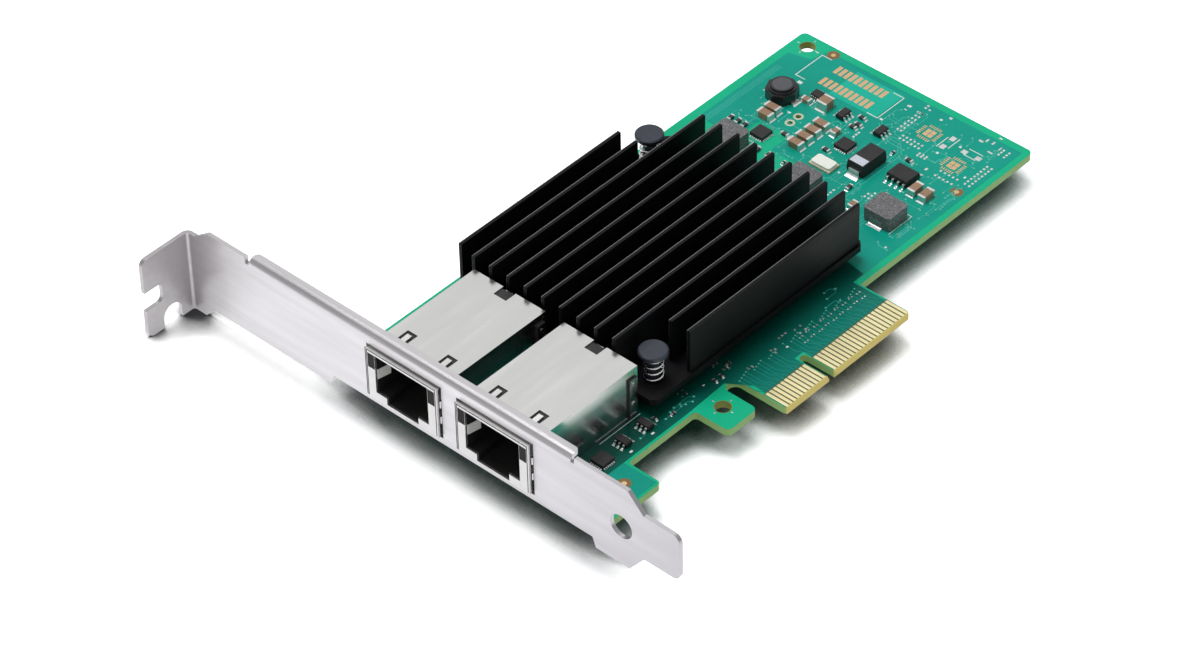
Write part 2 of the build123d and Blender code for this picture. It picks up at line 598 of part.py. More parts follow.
def place(spots, maker):
    """Body and metal of every like part, each set turned and moved to its spot."""
    bodies = []
    metal = []
    for x, y, quarter in spots:
        body, ends = maker()
        where = Pos(x, y, 0) * Rot(0, 0, 90 * quarter)
        bodies.append(where * body)
        metal += [where * end for end in ends]
    return bodies, metal


def power_inductor(x, y):
    size_x, size_y, high = INDUCTOR_SIZE
    body = slab(x, y, size_x, size_y, 0.12, high)
    body = chamfer(body.edges().filter_by(Axis.Z), 0.5)
    feet = [slab(x + side * (size_x / 2 - 0.55), y, 1.3, 3.2, 0, 0.12) for side in (-1, 1)]
    return body, feet


def drum_inductor():
    """Round drum core on a square base whose corners are cut off."""
    x, y = DRUM
    base = Pos(x, y, 0) * extrude(RegularPolygon(3.3, 8), 2.3)
    drum = Pos(x, y, 2.3) * extrude(Circle(2.75), 0.35)
    drum += Pos(x, y, 2.65) * extrude(Circle(2.3), 0.45)
    return base + drum


def tantalum_body():
    x, y = TANTALUM
    lower = Pos(x, y, 1.2) * Rectangle(7.0, 4.0)
    return extrude(lower, 1.6, taper=6) + extrude(lower, -1.0, taper=6)


def tantalum_terminals():
    x, y = TANTALUM
    ends = []
    for side in (-1, 1):
        path = [(x + side * 3.46, 1.3), (x + side * 3.72, 1.3), (x + side * 3.72, 0.1),
                (x + side * 2.6, 0.1)]
        ends.append(upright_strip(path, 0.2, y - 1.2, y + 1.2))
    return ends


def converter(x, y):
    return slab(x, y, CONVERTER_SIDE, CONVERTER_SIDE, 0.03, 0.9)


def crystal():
    x, y = CRYSTAL
    base = slab(x, y, 3.2, 5.0, 0, 0.5)
    lid = slab(x, y, 2.7, 4.5, 0.5, 1.0)
    return base, chamfer(lid.edges().filter_by(Axis.Z), 0.35)


def group(solids):
    return Compound(children=list(solids))


save("circuit_board", circuit_board())
save("edge_contacts_component_side", group(edge_fingers(0, FINGER_T)))
save("edge_contacts_solder_side", group(edge_fingers(-BOARD_T - FINGER_T, -BOARD_T)))
save("mounting_bracket", bracket())
save("bracket_screws", group([bracket_screw(y) for y in FIX_Y]))
for number, jack_y in enumerate(JACK_Y, 1):
    save(f"port_{number}_shield", jack_shield(jack_y))
    save(f"port_{number}_housing", jack_housing(jack_y))
    save(f"port_{number}_magnetics", magnetics_module(jack_y))
    save(f"port_{number}_contacts", group(jack_contacts(jack_y)))
    save(f"port_{number}_status_lights", group(status_lights(jack_y)))
    save(f"port_{number}_solder_pins", group(jack_pins(jack_y)))
save("heatsink", heatsink())
for number, (x, y) in enumerate(PUSH_PINS, 1):
    save(f"push_pin_{number}", push_pin(x, y))
    save(f"push_pin_spring_{number}", push_spring(x, y))
save("thermal_pad", slab(CHIP_X, CHIP_Y, PAD_SIDE, PAD_SIDE, CHIP_TOP_Z, SINK_Z0))
save("controller_substrate", slab(CHIP_X, CHIP_Y, CHIP_SIDE, CHIP_SIDE, 0, CHIP_SUBSTRATE_T))
save("controller_package", controller_cap())

inductor_bodies = []
inductor_feet = []
for spot in POWER_INDUCTORS:
    inductor_body, feet = power_inductor(*spot)
    inductor_bodies.append(inductor_body)
    inductor_feet += feet
save("power_inductors", group(inductor_bodies))
save("power_inductor_terminals", group(inductor_feet))
save("drum_inductor", drum_inductor())
save("tantalum_capacitor", tantalum_body())
save("tantalum_terminals", group(tantalum_terminals()))

for name, spots, size, cap in (
        ("large_capacitor", LARGE_CAPS, LARGE_CAP, 0.5),
        ("bulk_capacitor", [BULK_CAP], BULK_CAP_SIZE, 0.5),
        ("mid_capacitor", MID_CAPS, MID_CAP, 0.4),
        ("small_chip", SMALL_CHIPS, SMALL_CHIP, 0.3),
        ("tiny_chip", TINY_CHIPS, TINY_CHIP, 0.22)):
    bodies, ends = place(spots, lambda: capped_chip(size, cap))
    save(f"{name}_bodies", group(bodies))
    save(f"{name}_end_caps", group(ends))

memory_bodies, memory_leads = place(
    [(*MEMORY_CHIP, 0)], lambda: leaded_chip(3.9, 4.9, 1.6, 6.2, 1.27, 4, 0.42))
save("memory_chip", group(memory_bodies))
save("memory_chip_leads", group(memory_leads))
small_bodies, small_leads = place(
    SMALL_LEADED, lambda: leaded_chip(1.6, 2.8, 1.1, 2.9, 0.95, 3, 0.4))
save("small_regulators", group(small_bodies))
save("small_regulator_leads", group(small_leads))
fine_bodies, fine_leads = place(
    [FINE_CHIP], lambda: leaded_chip(1.9, 2.3, 0.9, 3.1, 0.5, 4, 0.22))
save("supervisor_chip", group(fine_bodies))
save("supervisor_chip_leads", group(fine_leads))
save("power_converters", group([converter(x, y) for x, y in CONVERTERS]))
crystal_base, crystal_lid = crystal()
save("crystal_base", crystal_base)
save("crystal_lid", crystal_lid)
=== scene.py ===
import json
import math
import random

import bmesh
import bpy
from mathutils import Matrix, Vector


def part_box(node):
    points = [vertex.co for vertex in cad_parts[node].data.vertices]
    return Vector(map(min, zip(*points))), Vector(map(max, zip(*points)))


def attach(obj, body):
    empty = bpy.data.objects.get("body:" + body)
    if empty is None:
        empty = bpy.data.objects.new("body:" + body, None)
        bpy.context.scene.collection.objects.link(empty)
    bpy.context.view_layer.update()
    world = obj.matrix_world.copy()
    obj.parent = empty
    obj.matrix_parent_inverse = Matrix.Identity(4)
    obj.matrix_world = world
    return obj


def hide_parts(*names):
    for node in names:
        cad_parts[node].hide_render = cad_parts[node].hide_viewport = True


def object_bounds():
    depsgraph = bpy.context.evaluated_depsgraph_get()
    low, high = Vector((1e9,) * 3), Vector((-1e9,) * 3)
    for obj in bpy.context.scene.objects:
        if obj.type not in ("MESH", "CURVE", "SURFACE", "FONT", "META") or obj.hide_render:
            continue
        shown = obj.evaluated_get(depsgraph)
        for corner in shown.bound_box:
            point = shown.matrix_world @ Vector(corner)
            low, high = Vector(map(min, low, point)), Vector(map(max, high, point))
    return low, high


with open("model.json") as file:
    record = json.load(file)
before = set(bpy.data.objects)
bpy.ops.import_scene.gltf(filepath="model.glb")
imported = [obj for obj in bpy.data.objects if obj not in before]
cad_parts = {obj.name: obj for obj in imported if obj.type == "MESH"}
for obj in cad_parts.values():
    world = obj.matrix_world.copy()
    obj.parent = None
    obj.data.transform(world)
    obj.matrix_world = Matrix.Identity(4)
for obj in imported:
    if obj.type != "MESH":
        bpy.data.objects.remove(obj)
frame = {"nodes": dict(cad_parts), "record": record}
cad_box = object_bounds()

# Places on the board are given in millimetres as in the CAD source: X from the bracket's
# outer face along the board, Y from the finger tabs' lower edge, Z up from the component side.
MM = 0.001
BOARD_NEAR_X = 1.2
TAB_GROUND_Y = 0.62
board_low, board_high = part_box("circuit_board")
ORIGIN = Vector((board_low.x - BOARD_NEAR_X * MM, board_low.y, board_high.z))
BOARD_T = (board_high.z - board_low.z) / MM

# Camera solved from the photograph, in metres in the row frame
CAMERA_AT = (-0.459826, -0.418986, 0.537076)
VIEW_RIGHT = (0.67294, -0.73949, -0.01746)
VIEW_DOWN = (-0.49825, -0.43572, -0.7496)
VIEW_AHEAD = (0.54671, 0.51314, -0.66166)
LENS = 133.41
SENSOR = 36.0

# Light: the world's level on plain surfaces, its level as metal mirrors it at the horizon and
# overhead, the two lamps in watts, and the floor's glow as the camera and as metal sees it
WORLD_FILL = 0.36
HORIZON = 0.22
CEILING = 0.78
KEY_POWER = 6.4
SIDE_POWER = 1.3
FLOOR_GLOW = 0.7
FLOOR_SHEEN = 0.45

# Floor: its gap under the lowest point and the reach of a form's shadow, in metres, and its tone
FLOOR_GAP = 0.0002
SHADOW_REACH = 0.009
SHADOW_TONE = (0.01, 0.013, 0.017)

# Places on the board that more than one layer keeps to, as (X, Y), and the radius of the
# window that the copper under the mask has round a via or a fiducial
MOUNTING_HOLES = ((127.0, 64.9), (38.2, 9.1))
POWER_VIAS = ((109.4, 52.2), (106.9, 52.2))
VIA_WINDOW_R = 1.15
FOOT_FIDUCIAL = (12.1, 9.0)
FIDUCIALS = (FOOT_FIDUCIAL, (111.6, 15.4), (128.3, 59.4))
FIDUCIAL_WINDOW_R = 1.3

# Heights over the board's face: copper under the mask, then tracks, pads and ink
PLANE_TOP = 0.02
TRACK_TOP = 0.035
PAD_TOP = 0.04
INK_TOP = 0.045

# How far every finish rounds off a sharp edge
EDGE_R = 0.06

random.seed(11)


def at(x, y, z=0.0):
    return ORIGIN + Vector((x, y, z)) * MM


def place_of(node):
    """Corners of a CAD node in board millimetres."""
    low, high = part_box(node)
    return (low - ORIGIN) / MM, (high - ORIGIN) / MM


# Procedural materials

class Finish:
    """A Principled material with the few node patterns that the finishes share."""

    def __init__(self, name, colour, rough, metal=0.0):
        self.material = bpy.data.materials.new(name)
        self.material.use_nodes = True
        self.tree = self.material.node_tree
        self.shader = self.tree.nodes["Principled BSDF"]
        self.shader.inputs["Base Color"].default_value = (*colour, 1)
        self.shader.inputs["Roughness"].default_value = rough
        self.shader.inputs["Metallic"].default_value = metal
        self.rough = rough
        self.place = self.tree.nodes.new("ShaderNodeTexCoord").outputs["Object"]
        rounded = self.tree.nodes.new("ShaderNodeBevel")
        rounded.samples = 4
        rounded.inputs["Radius"].default_value = EDGE_R * MM
        self.height = rounded.outputs["Normal"]
        self.link(self.height, self.shader.inputs["Normal"])

    def link(self, start, end):
        self.tree.links.new(start, end)

    def noise(self, scale, stretch=(1, 1, 1), detail=3.0):
        mapping = self.tree.nodes.new("ShaderNodeMapping")
        mapping.inputs["Scale"].default_value = stretch
        texture = self.tree.nodes.new("ShaderNodeTexNoise")
        texture.inputs["Scale"].default_value = scale
        texture.inputs["Detail"].default_value = detail
        self.link(self.place, mapping.inputs["Vector"])
        self.link(mapping.outputs["Vector"], texture.inputs["Vector"])
        return texture.outputs["Fac"]

    def ramp(self, value, low, high, low_out=0.0, high_out=1.0):
        node = self.tree.nodes.new("ShaderNodeMapRange")
        node.inputs["From Min"].default_value = low
        node.inputs["From Max"].default_value = high
        node.inputs["To Min"].default_value = low_out
        node.inputs["To Max"].default_value = high_out
        self.link(value, node.inputs["Value"])
        return node.outputs["Result"]

    def times(self, first, second):
        node = self.tree.nodes.new("ShaderNodeMath")
        node.operation = "MULTIPLY"
        self.link(first, node.inputs[0])
        self.link(second, node.inputs[1])
        return node.outputs["Value"]

    def blend(self, amount, second):
        """Second colour comes over what is there by amount."""
        node = self.tree.nodes.new("ShaderNodeMix")
        node.data_type = "RGBA"
        base = self.shader.inputs["Base Color"]
        if base.is_linked:
            self.link(base.links[0].from_socket, node.inputs["A"])
        else:
            node.inputs["A"].default_value = base.default_value
        node.inputs["B"].default_value = (*second, 1)
        self.link(amount, node.inputs["Factor"])
        self.link(node.outputs["Result"], base)

    def rough_range(self, value, spread):
        low, high = self.rough - spread, self.rough + spread
        self.link(self.ramp(value, 0.3, 0.7, low, high), self.shader.inputs["Roughness"])

    def bump(self, value, depth_mm):
        node = self.tree.nodes.new("ShaderNodeBump")
        node.inputs["Distance"].default_value = depth_mm * MM
        self.link(value, node.inputs["Height"])
        self.link(self.height, node.inputs["Normal"])
        self.height = node.outputs["Normal"]
        self.link(self.height, self.shader.inputs["Normal"])

    def set(self, **values):
        """Sets inputs of the shader by name, with an underscore for each space."""
        for socket, value in values.items():
            self.shader.inputs[socket.replace("_", " ")].default_value = value

    def crosswise(self):
        """Place along Y, in metres in the row frame."""
        parts = self.tree.nodes.new("ShaderNodeSeparateXYZ")
        self.link(self.place, parts.inputs["Vector"])
        return parts.outputs["Y"]

    def levelness(self):
        """0 on faces that look sideways, 1 on level ones."""
        geometry = self.tree.nodes.new("ShaderNodeNewGeometry")
        parts = self.tree.nodes.new("ShaderNodeSeparateXYZ")
        size = self.tree.nodes.new("ShaderNodeMath")
        size.operation = "ABSOLUTE"
        self.link(geometry.outputs["True Normal"], parts.inputs["Vector"])
        self.link(parts.outputs["Z"], size.inputs[0])
        return size.outputs["Value"]

    def upright_share(self):
        """1 on faces that look sideways, 0 on level ones, with a short step between them."""
        return self.ramp(self.levelness(), 0.6, 0.3)


def mask_finish(name, colour, cloudy):
    """Solder mask: glossy ink over the board's weave, cloudy where copper lies under it."""
    made = Finish(name, colour, 0.3)
    made.blend(made.ramp(made.noise(90), 0.35, 0.75, 0.0, 0.5), cloudy)
    made.blend(made.ramp(made.noise(1400, detail=1), 0.5, 0.8, 0.0, 0.25), cloudy)
    made.rough_range(made.noise(400), 0.06)
    made.bump(made.noise(1800, (1, 0.35, 1)), 0.006)
    made.set(Specular_IOR_Level=0.12, Coat_Weight=0.04, Coat_Roughness=0.12)
    return made


def shaded_mask_finish():
    """Mask over inner copper, darker partly for the copper and partly as painted shade of the sockets
    and heatsink; the painted shade fades toward the finger tabs.
    """
    made = mask_finish("shaded_solder_mask_over_inner_copper", (0.001, 0.062, 0.044), (0.003, 0.12, 0.088))
    # Painted shade: this blend lightens the mask toward the finger tabs
    made.blend(made.ramp(made.crosswise(), at(0, 15.5).y, at(0, 7.0).y, 0.0, 0.85), (0.004, 0.22, 0.17))
    return made.material


def board_finish():
    """Green mask on the faces, pale laminate on the edges, yellower where the tabs are ground."""
    made = mask_finish("solder_mask_over_laminate", (0.006, 0.47, 0.24), (0.015, 0.56, 0.34))
    made.blend(made.upright_share(), (0.32, 0.54, 0.19))
    tab_end = at(0, TAB_GROUND_Y).y
    soft = 0.1 * MM
    made.blend(made.ramp(made.crosswise(), tab_end + soft, tab_end - soft), (0.80, 0.66, 0.22))
    return made.material


def bare_metal(name, colour, rough, grain, stretch, depth, shade):
    """Metal with a directional grain."""
    made = Finish(name, colour, rough, metal=1.0)
    lines = made.noise(grain, stretch, detail=4)
    made.blend(made.ramp(lines, 0.35, 0.75, 0.0, 0.35), shade)
    made.blend(made.ramp(made.noise(60), 0.45, 0.8, 0.0, 0.25), shade)
    made.rough_range(lines, 0.06)
    made.bump(lines, depth)
    return made


def metal_finish(*look):
    return bare_metal(*look).material


def bracket_finish():
    """Nickel plate, brushed along the sheet, with painted shade: darker by the fold, near the tongue
    and on level faces, and darkest on the bends between level and upright."""
    made = bare_metal(
        "nickel_plated_steel", (0.67, 0.655, 0.675), 0.38, 700, (1, 0.06, 1), 0.0015, (0.52, 0.505, 0.52))
    tongue_y, fold_y = (corner.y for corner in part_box("mounting_bracket"))
    place = made.crosswise()
    # Painted shade toward the fold
    made.blend(made.ramp(place, fold_y - 11 * MM, fold_y - 2 * MM, 0.0, 0.6), (0.34, 0.32, 0.325))
    # Painted shade on level faces
    made.blend(made.ramp(made.upright_share(), 0.0, 1.0, 0.5, 0.0), (0.42, 0.41, 0.42))
    # Painted shade on the bends between level and upright
    bend_shade = made.times(made.ramp(made.levelness(), 0.6, 0.85), made.ramp(made.levelness(), 0.9995, 0.985))
    made.blend(made.ramp(bend_shade, 0.0, 1.0, 0.0, 0.75), (0.22, 0.215, 0.22))
    # Painted shade toward the tongue
    made.blend(made.ramp(place, tongue_y + 45 * MM, tongue_y, 0.0, 0.7), (0.44, 0.43, 0.455))
    return made.material


def shield_finish():
    """Tinned brass, brushed along the socket, with painted shade darkening its upright walls."""
    made = bare_metal(
        "tinned_brass_shield", (0.80, 0.80, 0.785), 0.22, 500, (0.12, 1, 1), 0.003, (0.68, 0.68, 0.66))
    # Painted shade on the upright walls, made uneven by a noise
    made.blend(made.times(made.upright_share(), made.ramp(made.noise(200), 0.2, 0.8, 0.7, 1.0)),
               (0.56, 0.55, 0.555))
    return made.material


def moulded_finish(name, colour, rough, grain=1500, depth=0.012, shade=None):
    """Filled moulding compound: fine matt grain with faint clouds."""
    made = Finish(name, colour, rough)
    shade = shade or tuple(c * 1.6 for c in colour)
    made.blend(made.ramp(made.noise(grain), 0.45, 0.7, 0.0, 0.5), shade)
    made.blend(made.ramp(made.noise(180), 0.4, 0.8, 0.0, 0.3), shade)
    made.rough_range(made.noise(500), 0.08)
    made.bump(made.noise(grain), depth)
    return made.material


def speckled_finish(name, colour, dark, light, rough, scale, depth):
    """Pressed ferrite or ceramic powder: grains of three tones."""
    made = Finish(name, colour, rough)
    made.blend(made.ramp(made.noise(scale, detail=2), 0.52, 0.6), dark)
    made.blend(made.ramp(made.noise(scale * 0.83, detail=2), 0.58, 0.64), light)
    made.rough_range(made.noise(scale), 0.1)
    made.bump(made.noise(scale), depth)
    return made.material


def gold_finish():
    made = Finish("hard_gold", (0.99, 0.90, 0.54), 0.34, metal=1.0)
    made.blend(made.ramp(made.noise(350, (1, 0.15, 1)), 0.4, 0.75, 0.0, 0.4), (0.92, 0.78, 0.38))
    made.rough_range(made.noise(900, (1, 0.1, 1)), 0.08)
    made.bump(made.noise(1500, (1, 0.1, 1)), 0.004)
    return made.material


def anodised_finish():
    made = Finish("black_anodised_aluminium", (0.0025, 0.0025, 0.003), 0.5)
    made.blend(made.ramp(made.noise(70), 0.4, 0.8, 0.0, 0.6), (0.005, 0.006, 0.008))
    made.rough_range(made.noise(300, (0.1, 1, 1)), 0.06)
    made.bump(made.noise(1200, (0.05, 1, 1)), 0.006)
    made.set(Specular_IOR_Level=0.15)
    return made.material


def lens_finish():
    made = Finish("smoked_lens", (0.010, 0.009, 0.009), 0.2)
    made.blend(made.ramp(made.noise(300), 0.4, 0.8, 0.0, 0.5), (0.022, 0.021, 0.021))
    made.bump(made.noise(900), 0.004)
    made.set(Specular_IOR_Level=0.08, Coat_Weight=0.03, Coat_Roughness=0.05)
    return made.material


def silk_finish():
    made = Finish("white_ink", (0.80, 0.86, 0.82), 0.6)
    made.blend(made.ramp(made.noise(1500), 0.5, 0.75, 0.0, 0.5), (0.45, 0.62, 0.55))
    made.bump(made.noise(2500), 0.006)
    return made.material


def solder_finish():
    made = Finish("solder", (0.84, 0.84, 0.83), 0.34, metal=1.0)
    made.blend(made.ramp(made.noise(700), 0.4, 0.7, 0.0, 0.4), (0.66, 0.66, 0.66))
    made.rough_range(made.noise(900), 0.06)
    made.bump(made.noise(1300), 0.004)
    return made.material


MATERIALS = {
    "solder_mask": board_finish(),
    "gold": gold_finish(),
    "bracket_steel": bracket_finish(),
    "bright_steel": metal_finish(
        "bright_steel", (0.78, 0.78, 0.79), 0.25, 900, (1, 1, 1), 0.004, (0.55, 0.55, 0.57)),
    "black_aluminium": anodised_finish(),
    "grey_pad": moulded_finish("thermal_pad_silicone", (0.30, 0.31, 0.33), 0.8),
    "substrate": moulded_finish("package_substrate", (0.02, 0.12, 0.06), 0.5),
    "black_moulding": moulded_finish("black_epoxy", (0.009, 0.008, 0.009), 0.6),
    "grey_ferrite": speckled_finish(
        "pressed_iron_powder", (0.150, 0.150, 0.155), (0.08, 0.08, 0.085), (0.24, 0.24, 0.24),
        0.55, 3000, 0.015),
    "black_ferrite": moulded_finish("black_ferrite", (0.016, 0.016, 0.018), 0.3, 900),
    "tinned_metal": solder_finish(),
    "ceramic_cream": moulded_finish("cream_ceramic", (0.62, 0.55, 0.40), 0.45),
    "pale_metal": moulded_finish(
        "matt_nickel_lid", (0.92, 0.95, 0.86), 0.3, 900, 0.004, (0.96, 0.98, 0.91)),
    "brown_ceramic": moulded_finish("brown_ceramic", (0.30, 0.18, 0.105), 0.35, shade=(0.44, 0.29, 0.19)),
    "dark_ceramic": moulded_finish("dark_ceramic", (0.035, 0.03, 0.03), 0.4),
    "tinned_shield": shield_finish(),
    "black_housing": moulded_finish("black_nylon", (0.010, 0.010, 0.011), 0.45),
    "smoked_lens": lens_finish(),
    "slate_plastic": moulded_finish("slate_nylon", (0.022, 0.027, 0.041), 0.4, 1200),
    "spring_steel": metal_finish(
        "spring_wire", (0.82, 0.81, 0.80), 0.2, 900, (1, 1, 1), 0.002, (0.6, 0.6, 0.6)),
}
GLOSS_MASK = mask_finish("solder_mask_over_copper", (0.003, 0.33, 0.245), (0.012, 0.44, 0.33)).material
PAD_MASK = mask_finish("solder_mask_over_header", (0.010, 0.47, 0.34), (0.03, 0.56, 0.42)).material
# Mask over inner copper, with painted shade from the sockets and heatsink
SHADED_MASK = shaded_mask_finish()
TRACK_MASK = mask_finish("solder_mask_over_tracks", (0.05, 0.46, 0.36), (0.08, 0.54, 0.43)).material
DIM_TRACK_MASK = mask_finish("solder_mask_over_fan_out", (0.012, 0.27, 0.21), (0.03, 0.33, 0.27)).material
VIA_GREEN = mask_finish("solder_mask_in_vias", (0.35, 0.62, 0.50), (0.20, 0.50, 0.38)).material
HOLE_WALL = moulded_finish("drilled_laminate", (0.25, 0.27, 0.03), 0.5, shade=(0.38, 0.36, 0.06))
PALE_GOLD = metal_finish(
    "plated_ring", (0.78, 0.74, 0.62), 0.35, 900, (1, 1, 1), 0.003, (0.6, 0.55, 0.42))
STRIPE_INK = moulded_finish("pale_band_ink", (0.66, 0.69, 0.77), 0.5, shade=(0.54, 0.57, 0.66))
DRUM_GREY = moulded_finish("ground_ferrite", (0.075, 0.078, 0.086), 0.38, 700, shade=(0.12, 0.12, 0.13))
# Near-black lines of painted shadow in the seams and folds of the socket shields
PAINTED_SEAM_SHADOW = moulded_finish("seam_shadow", (0.022, 0.02, 0.018), 0.7, 900)
PALE_SPRING = moulded_finish("tinned_side_spring", (0.82, 0.82, 0.80), 0.5, 900, shade=(0.66, 0.66, 0.64))
DRUM_RIM = moulded_finish("ferrite_rim", (0.03, 0.03, 0.034), 0.2, 900)
STRAP_GREY = metal_finish("dull_strap", (0.30, 0.31, 0.32), 0.4, 800, (1, 1, 1), 0.006, (0.16, 0.17, 0.18))
# Light grey strips on the fins' edges, a painted highlight
FIN_EDGE_HIGHLIGHT = metal_finish(
    "fin_edge_highlight_grey", (0.26, 0.26, 0.265), 0.45, 600, (1, 1, 1), 0.004, (0.07, 0.07, 0.075))
BARE_GOLD = metal_finish(
    "immersion_gold", (0.86, 0.58, 0.33), 0.36, 900, (1, 1, 1), 0.004, (0.70, 0.42, 0.22))
WINDOW_OLIVE = moulded_finish(
    "laminate_between_fingers", (0.050, 0.062, 0.012), 0.5, shade=(0.09, 0.10, 0.02))
RING_BROWN = moulded_finish("bare_laminate", (0.20, 0.12, 0.03), 0.5, shade=(0.28, 0.17, 0.05))
WHITE_INK = silk_finish()
SOLDER = MATERIALS["tinned_metal"]


def dress_frame():
    """Every CAD node gets the finish that its material slot in the record names."""
    for part in frame["record"]["subparts"]:
        slots = frame["nodes"][part["node"]].data.materials
        slots.clear()
        slots.append(MATERIALS[part["material_slot"]])


# Mesh pieces

class Shapes:
    """Many small closed forms, given in board millimetres, gathered into one piece."""

    def __init__(self):
        self.mesh = bmesh.new()

    def loft(self, rings):
        layers = [[self.mesh.verts.new(at(*p)) for p in ring] for ring in rings]
        for low, high in zip(layers, layers[1:]):
            for i, corner in enumerate(low):
                j = (i + 1) % len(low)
                self.mesh.faces.new((corner, low[j], high[j], high[i]))
        self.mesh.faces.new(layers[0][::-1])
        self.mesh.faces.new(layers[-1])

    def prism(self, points, z0, z1):
        self.loft([[(x, y, z) for x, y in points] for z in (z0, z1)])

    def block(self, x0, x1, y0, y1, z0, z1):
        self.prism([(x0, y0), (x1, y0), (x1, y1), (x0, y1)], z0, z1)

    def pad(self, x, y, size_x, size_y, z0, z1, turn=0.0):
        c, s = math.cos(turn), math.sin(turn)
        corners = ((-1, -1), (1, -1), (1, 1), (-1, 1))
        spots = [(u * size_x / 2, v * size_y / 2) for u, v in corners]
        self.prism([(x + c * u - s * v, y + s * u + c * v) for u, v in spots], z0, z1)

    def disc(self, x, y, r, z0, z1, sides=16):
        self.prism(circle(x, y, r, sides), z0, z1)

    def ring(self, x, y, r_in, r_out, z0, z1, sides=24):
        """Flat ring with its own inner wall."""
        inner, outer = circle(x, y, r_in, sides), circle(x, y, r_out, sides)
        levels = []
        for z in (z0, z1):
            for points in (inner, outer):
                levels.append([self.mesh.verts.new(at(px, py, z)) for px, py in points])
        low_in, low_out, high_in, high_out = levels
        for i in range(sides):
            j = (i + 1) % sides
            self.mesh.faces.new((high_in[i], high_out[i], high_out[j], high_in[j]))
            self.mesh.faces.new((low_in[j], low_out[j], low_out[i], low_in[i]))
            self.mesh.faces.new((low_out[i], low_out[j], high_out[j], high_out[i]))
            self.mesh.faces.new((low_in[j], low_in[i], high_in[i], high_in[j]))

    def track(self, path, width, z0, z1):
        """Flat strip along a path of straight runs, with mitred corners."""
        sides = ([], [])
        for i, (px, py) in enumerate(path):
            before = path[max(i - 1, 0)]
            after = path[min(i + 1, len(path) - 1)]
            a_in = math.atan2(py - before[1], px - before[0])
            a_out = math.atan2(after[1] - py, after[0] - px)
            a_in = a_out if i == 0 else a_in
            a_out = a_in if i == len(path) - 1 else a_out
            half = ((a_out - a_in + math.pi) % (2 * math.pi) - math.pi) / 2
            lean = a_in + half + math.pi / 2
            reach = width / 2 / math.cos(half)
            step = (reach * math.cos(lean), reach * math.sin(lean))
            sides[0].append((px + step[0], py + step[1]))
            sides[1].append((px - step[0], py - step[1]))
        for i in range(len(path) - 1):
            quad = (sides[1][i], sides[1][i + 1], sides[0][i + 1], sides[0][i])
            self.prism(quad, z0, z1)

    def fillet(self, x, y, wide, reach, high, turn):
        """Solder climbing a terminal: a hollow slope from the wall out onto the pad."""
        c, s = math.cos(turn), math.sin(turn)
        slope = [(0.0, high), (0.12, high * 0.55), (0.4, high * 0.2), (1.0, 0.03)]
        rows = []
        for share, z in slope:
            half = wide / 2 * (1 + 0.12 * share)
            ends = [(reach * share, -half), (reach * share, half)]
            flat = [(x + c * u - s * v, y + s * u + c * v) for u, v in ends]
            rows.append([(*flat[0], 0.0), (*flat[1], 0.0), (*flat[1], z), (*flat[0], z)])
        self.loft(rows)

    def piece(self, name, material, smooth=False):
        bmesh.ops.recalc_face_normals(self.mesh, faces=self.mesh.faces)
        data = bpy.data.meshes.new(name)
        self.mesh.to_mesh(data)
        self.mesh.free()
        return settle(add_object(name, data), material, smooth)


def circle(x, y, r, sides):
    turns = [2 * math.pi * i / sides for i in range(sides)]
    return [(x + r * math.cos(a), y + r * math.sin(a)) for a in turns]


def add_object(name, data):
    made = bpy.data.objects.new(name, data)
    bpy.context.scene.collection.objects.link(made)
    return made


def mesh_of_curve(curve):
    """The filled or thickened form of a curve, as a mesh."""
    drawn = add_object(curve.name + "_line", curve)
    bpy.context.view_layer.update()
    data = bpy.data.meshes.new_from_object(drawn)
    bpy.data.objects.remove(drawn)
    return data


def settle(made, material, smooth=False):
    """Gives a finished piece its material and lets it ride with the card."""
    made.data.materials.append(material)
    if smooth:
        for face in made.data.polygons:
            face.use_smooth = True
    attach(made, "root")
    return made


def sheet_with_holes(name, outer, holes, z0, z1, material):
    """Thin flat sheet cut from outlines: a filled 2D curve turned into a mesh."""
    curve = bpy.data.curves.new(name, "CURVE")
    curve.dimensions = "2D"
    curve.fill_mode = "BOTH"
    curve.extrude = (z1 - z0) / 2 * MM
    for points in [outer, *holes]:
        spline = curve.splines.new("POLY")
        spline.points.add(len(points) - 1)
        for spot, (x, y) in zip(spline.points, points):
            spot.co = (*at(x, y).xy, 0, 1)
        spline.use_cyclic_u = True
    data = mesh_of_curve(curve)
    data.name = name
    data.transform(Matrix.Translation((0, 0, at(0, 0, (z0 + z1) / 2).z)))
    return settle(add_object(name, data), material)


# Camera, light and floor

def set_camera():
    camera = bpy.data.cameras.new("photo_camera")
    camera.lens = LENS
    camera.sensor_width = SENSOR
    camera.clip_start = 0.01
    made = add_object("photo_camera", camera)
    axes = Matrix((VIEW_RIGHT, [-v for v in VIEW_DOWN], [-v for v in VIEW_AHEAD])).transposed()
    made.matrix_world = Matrix.Translation(CAMERA_AT) @ axes.to_4x4()
    bpy.context.scene.camera = made


def softbox_shade(tree):
    """World brightness by height: a dim horizon under a bright ceiling."""
    place = tree.nodes.new("ShaderNodeTexCoord")
    parts = tree.nodes.new("ShaderNodeSeparateXYZ")
    shade = tree.nodes.new("ShaderNodeMapRange")
    shade.interpolation_type = "SMOOTHSTEP"
    shade.inputs["From Min"].default_value = 0.0
    shade.inputs["From Max"].default_value = 0.8
    shade.inputs["To Min"].default_value = HORIZON
    shade.inputs["To Max"].default_value = CEILING
    tree.links.new(place.outputs["Generated"], parts.inputs["Vector"])
    tree.links.new(parts.outputs["Z"], shade.inputs["Value"])
    return shade.outputs["Result"]


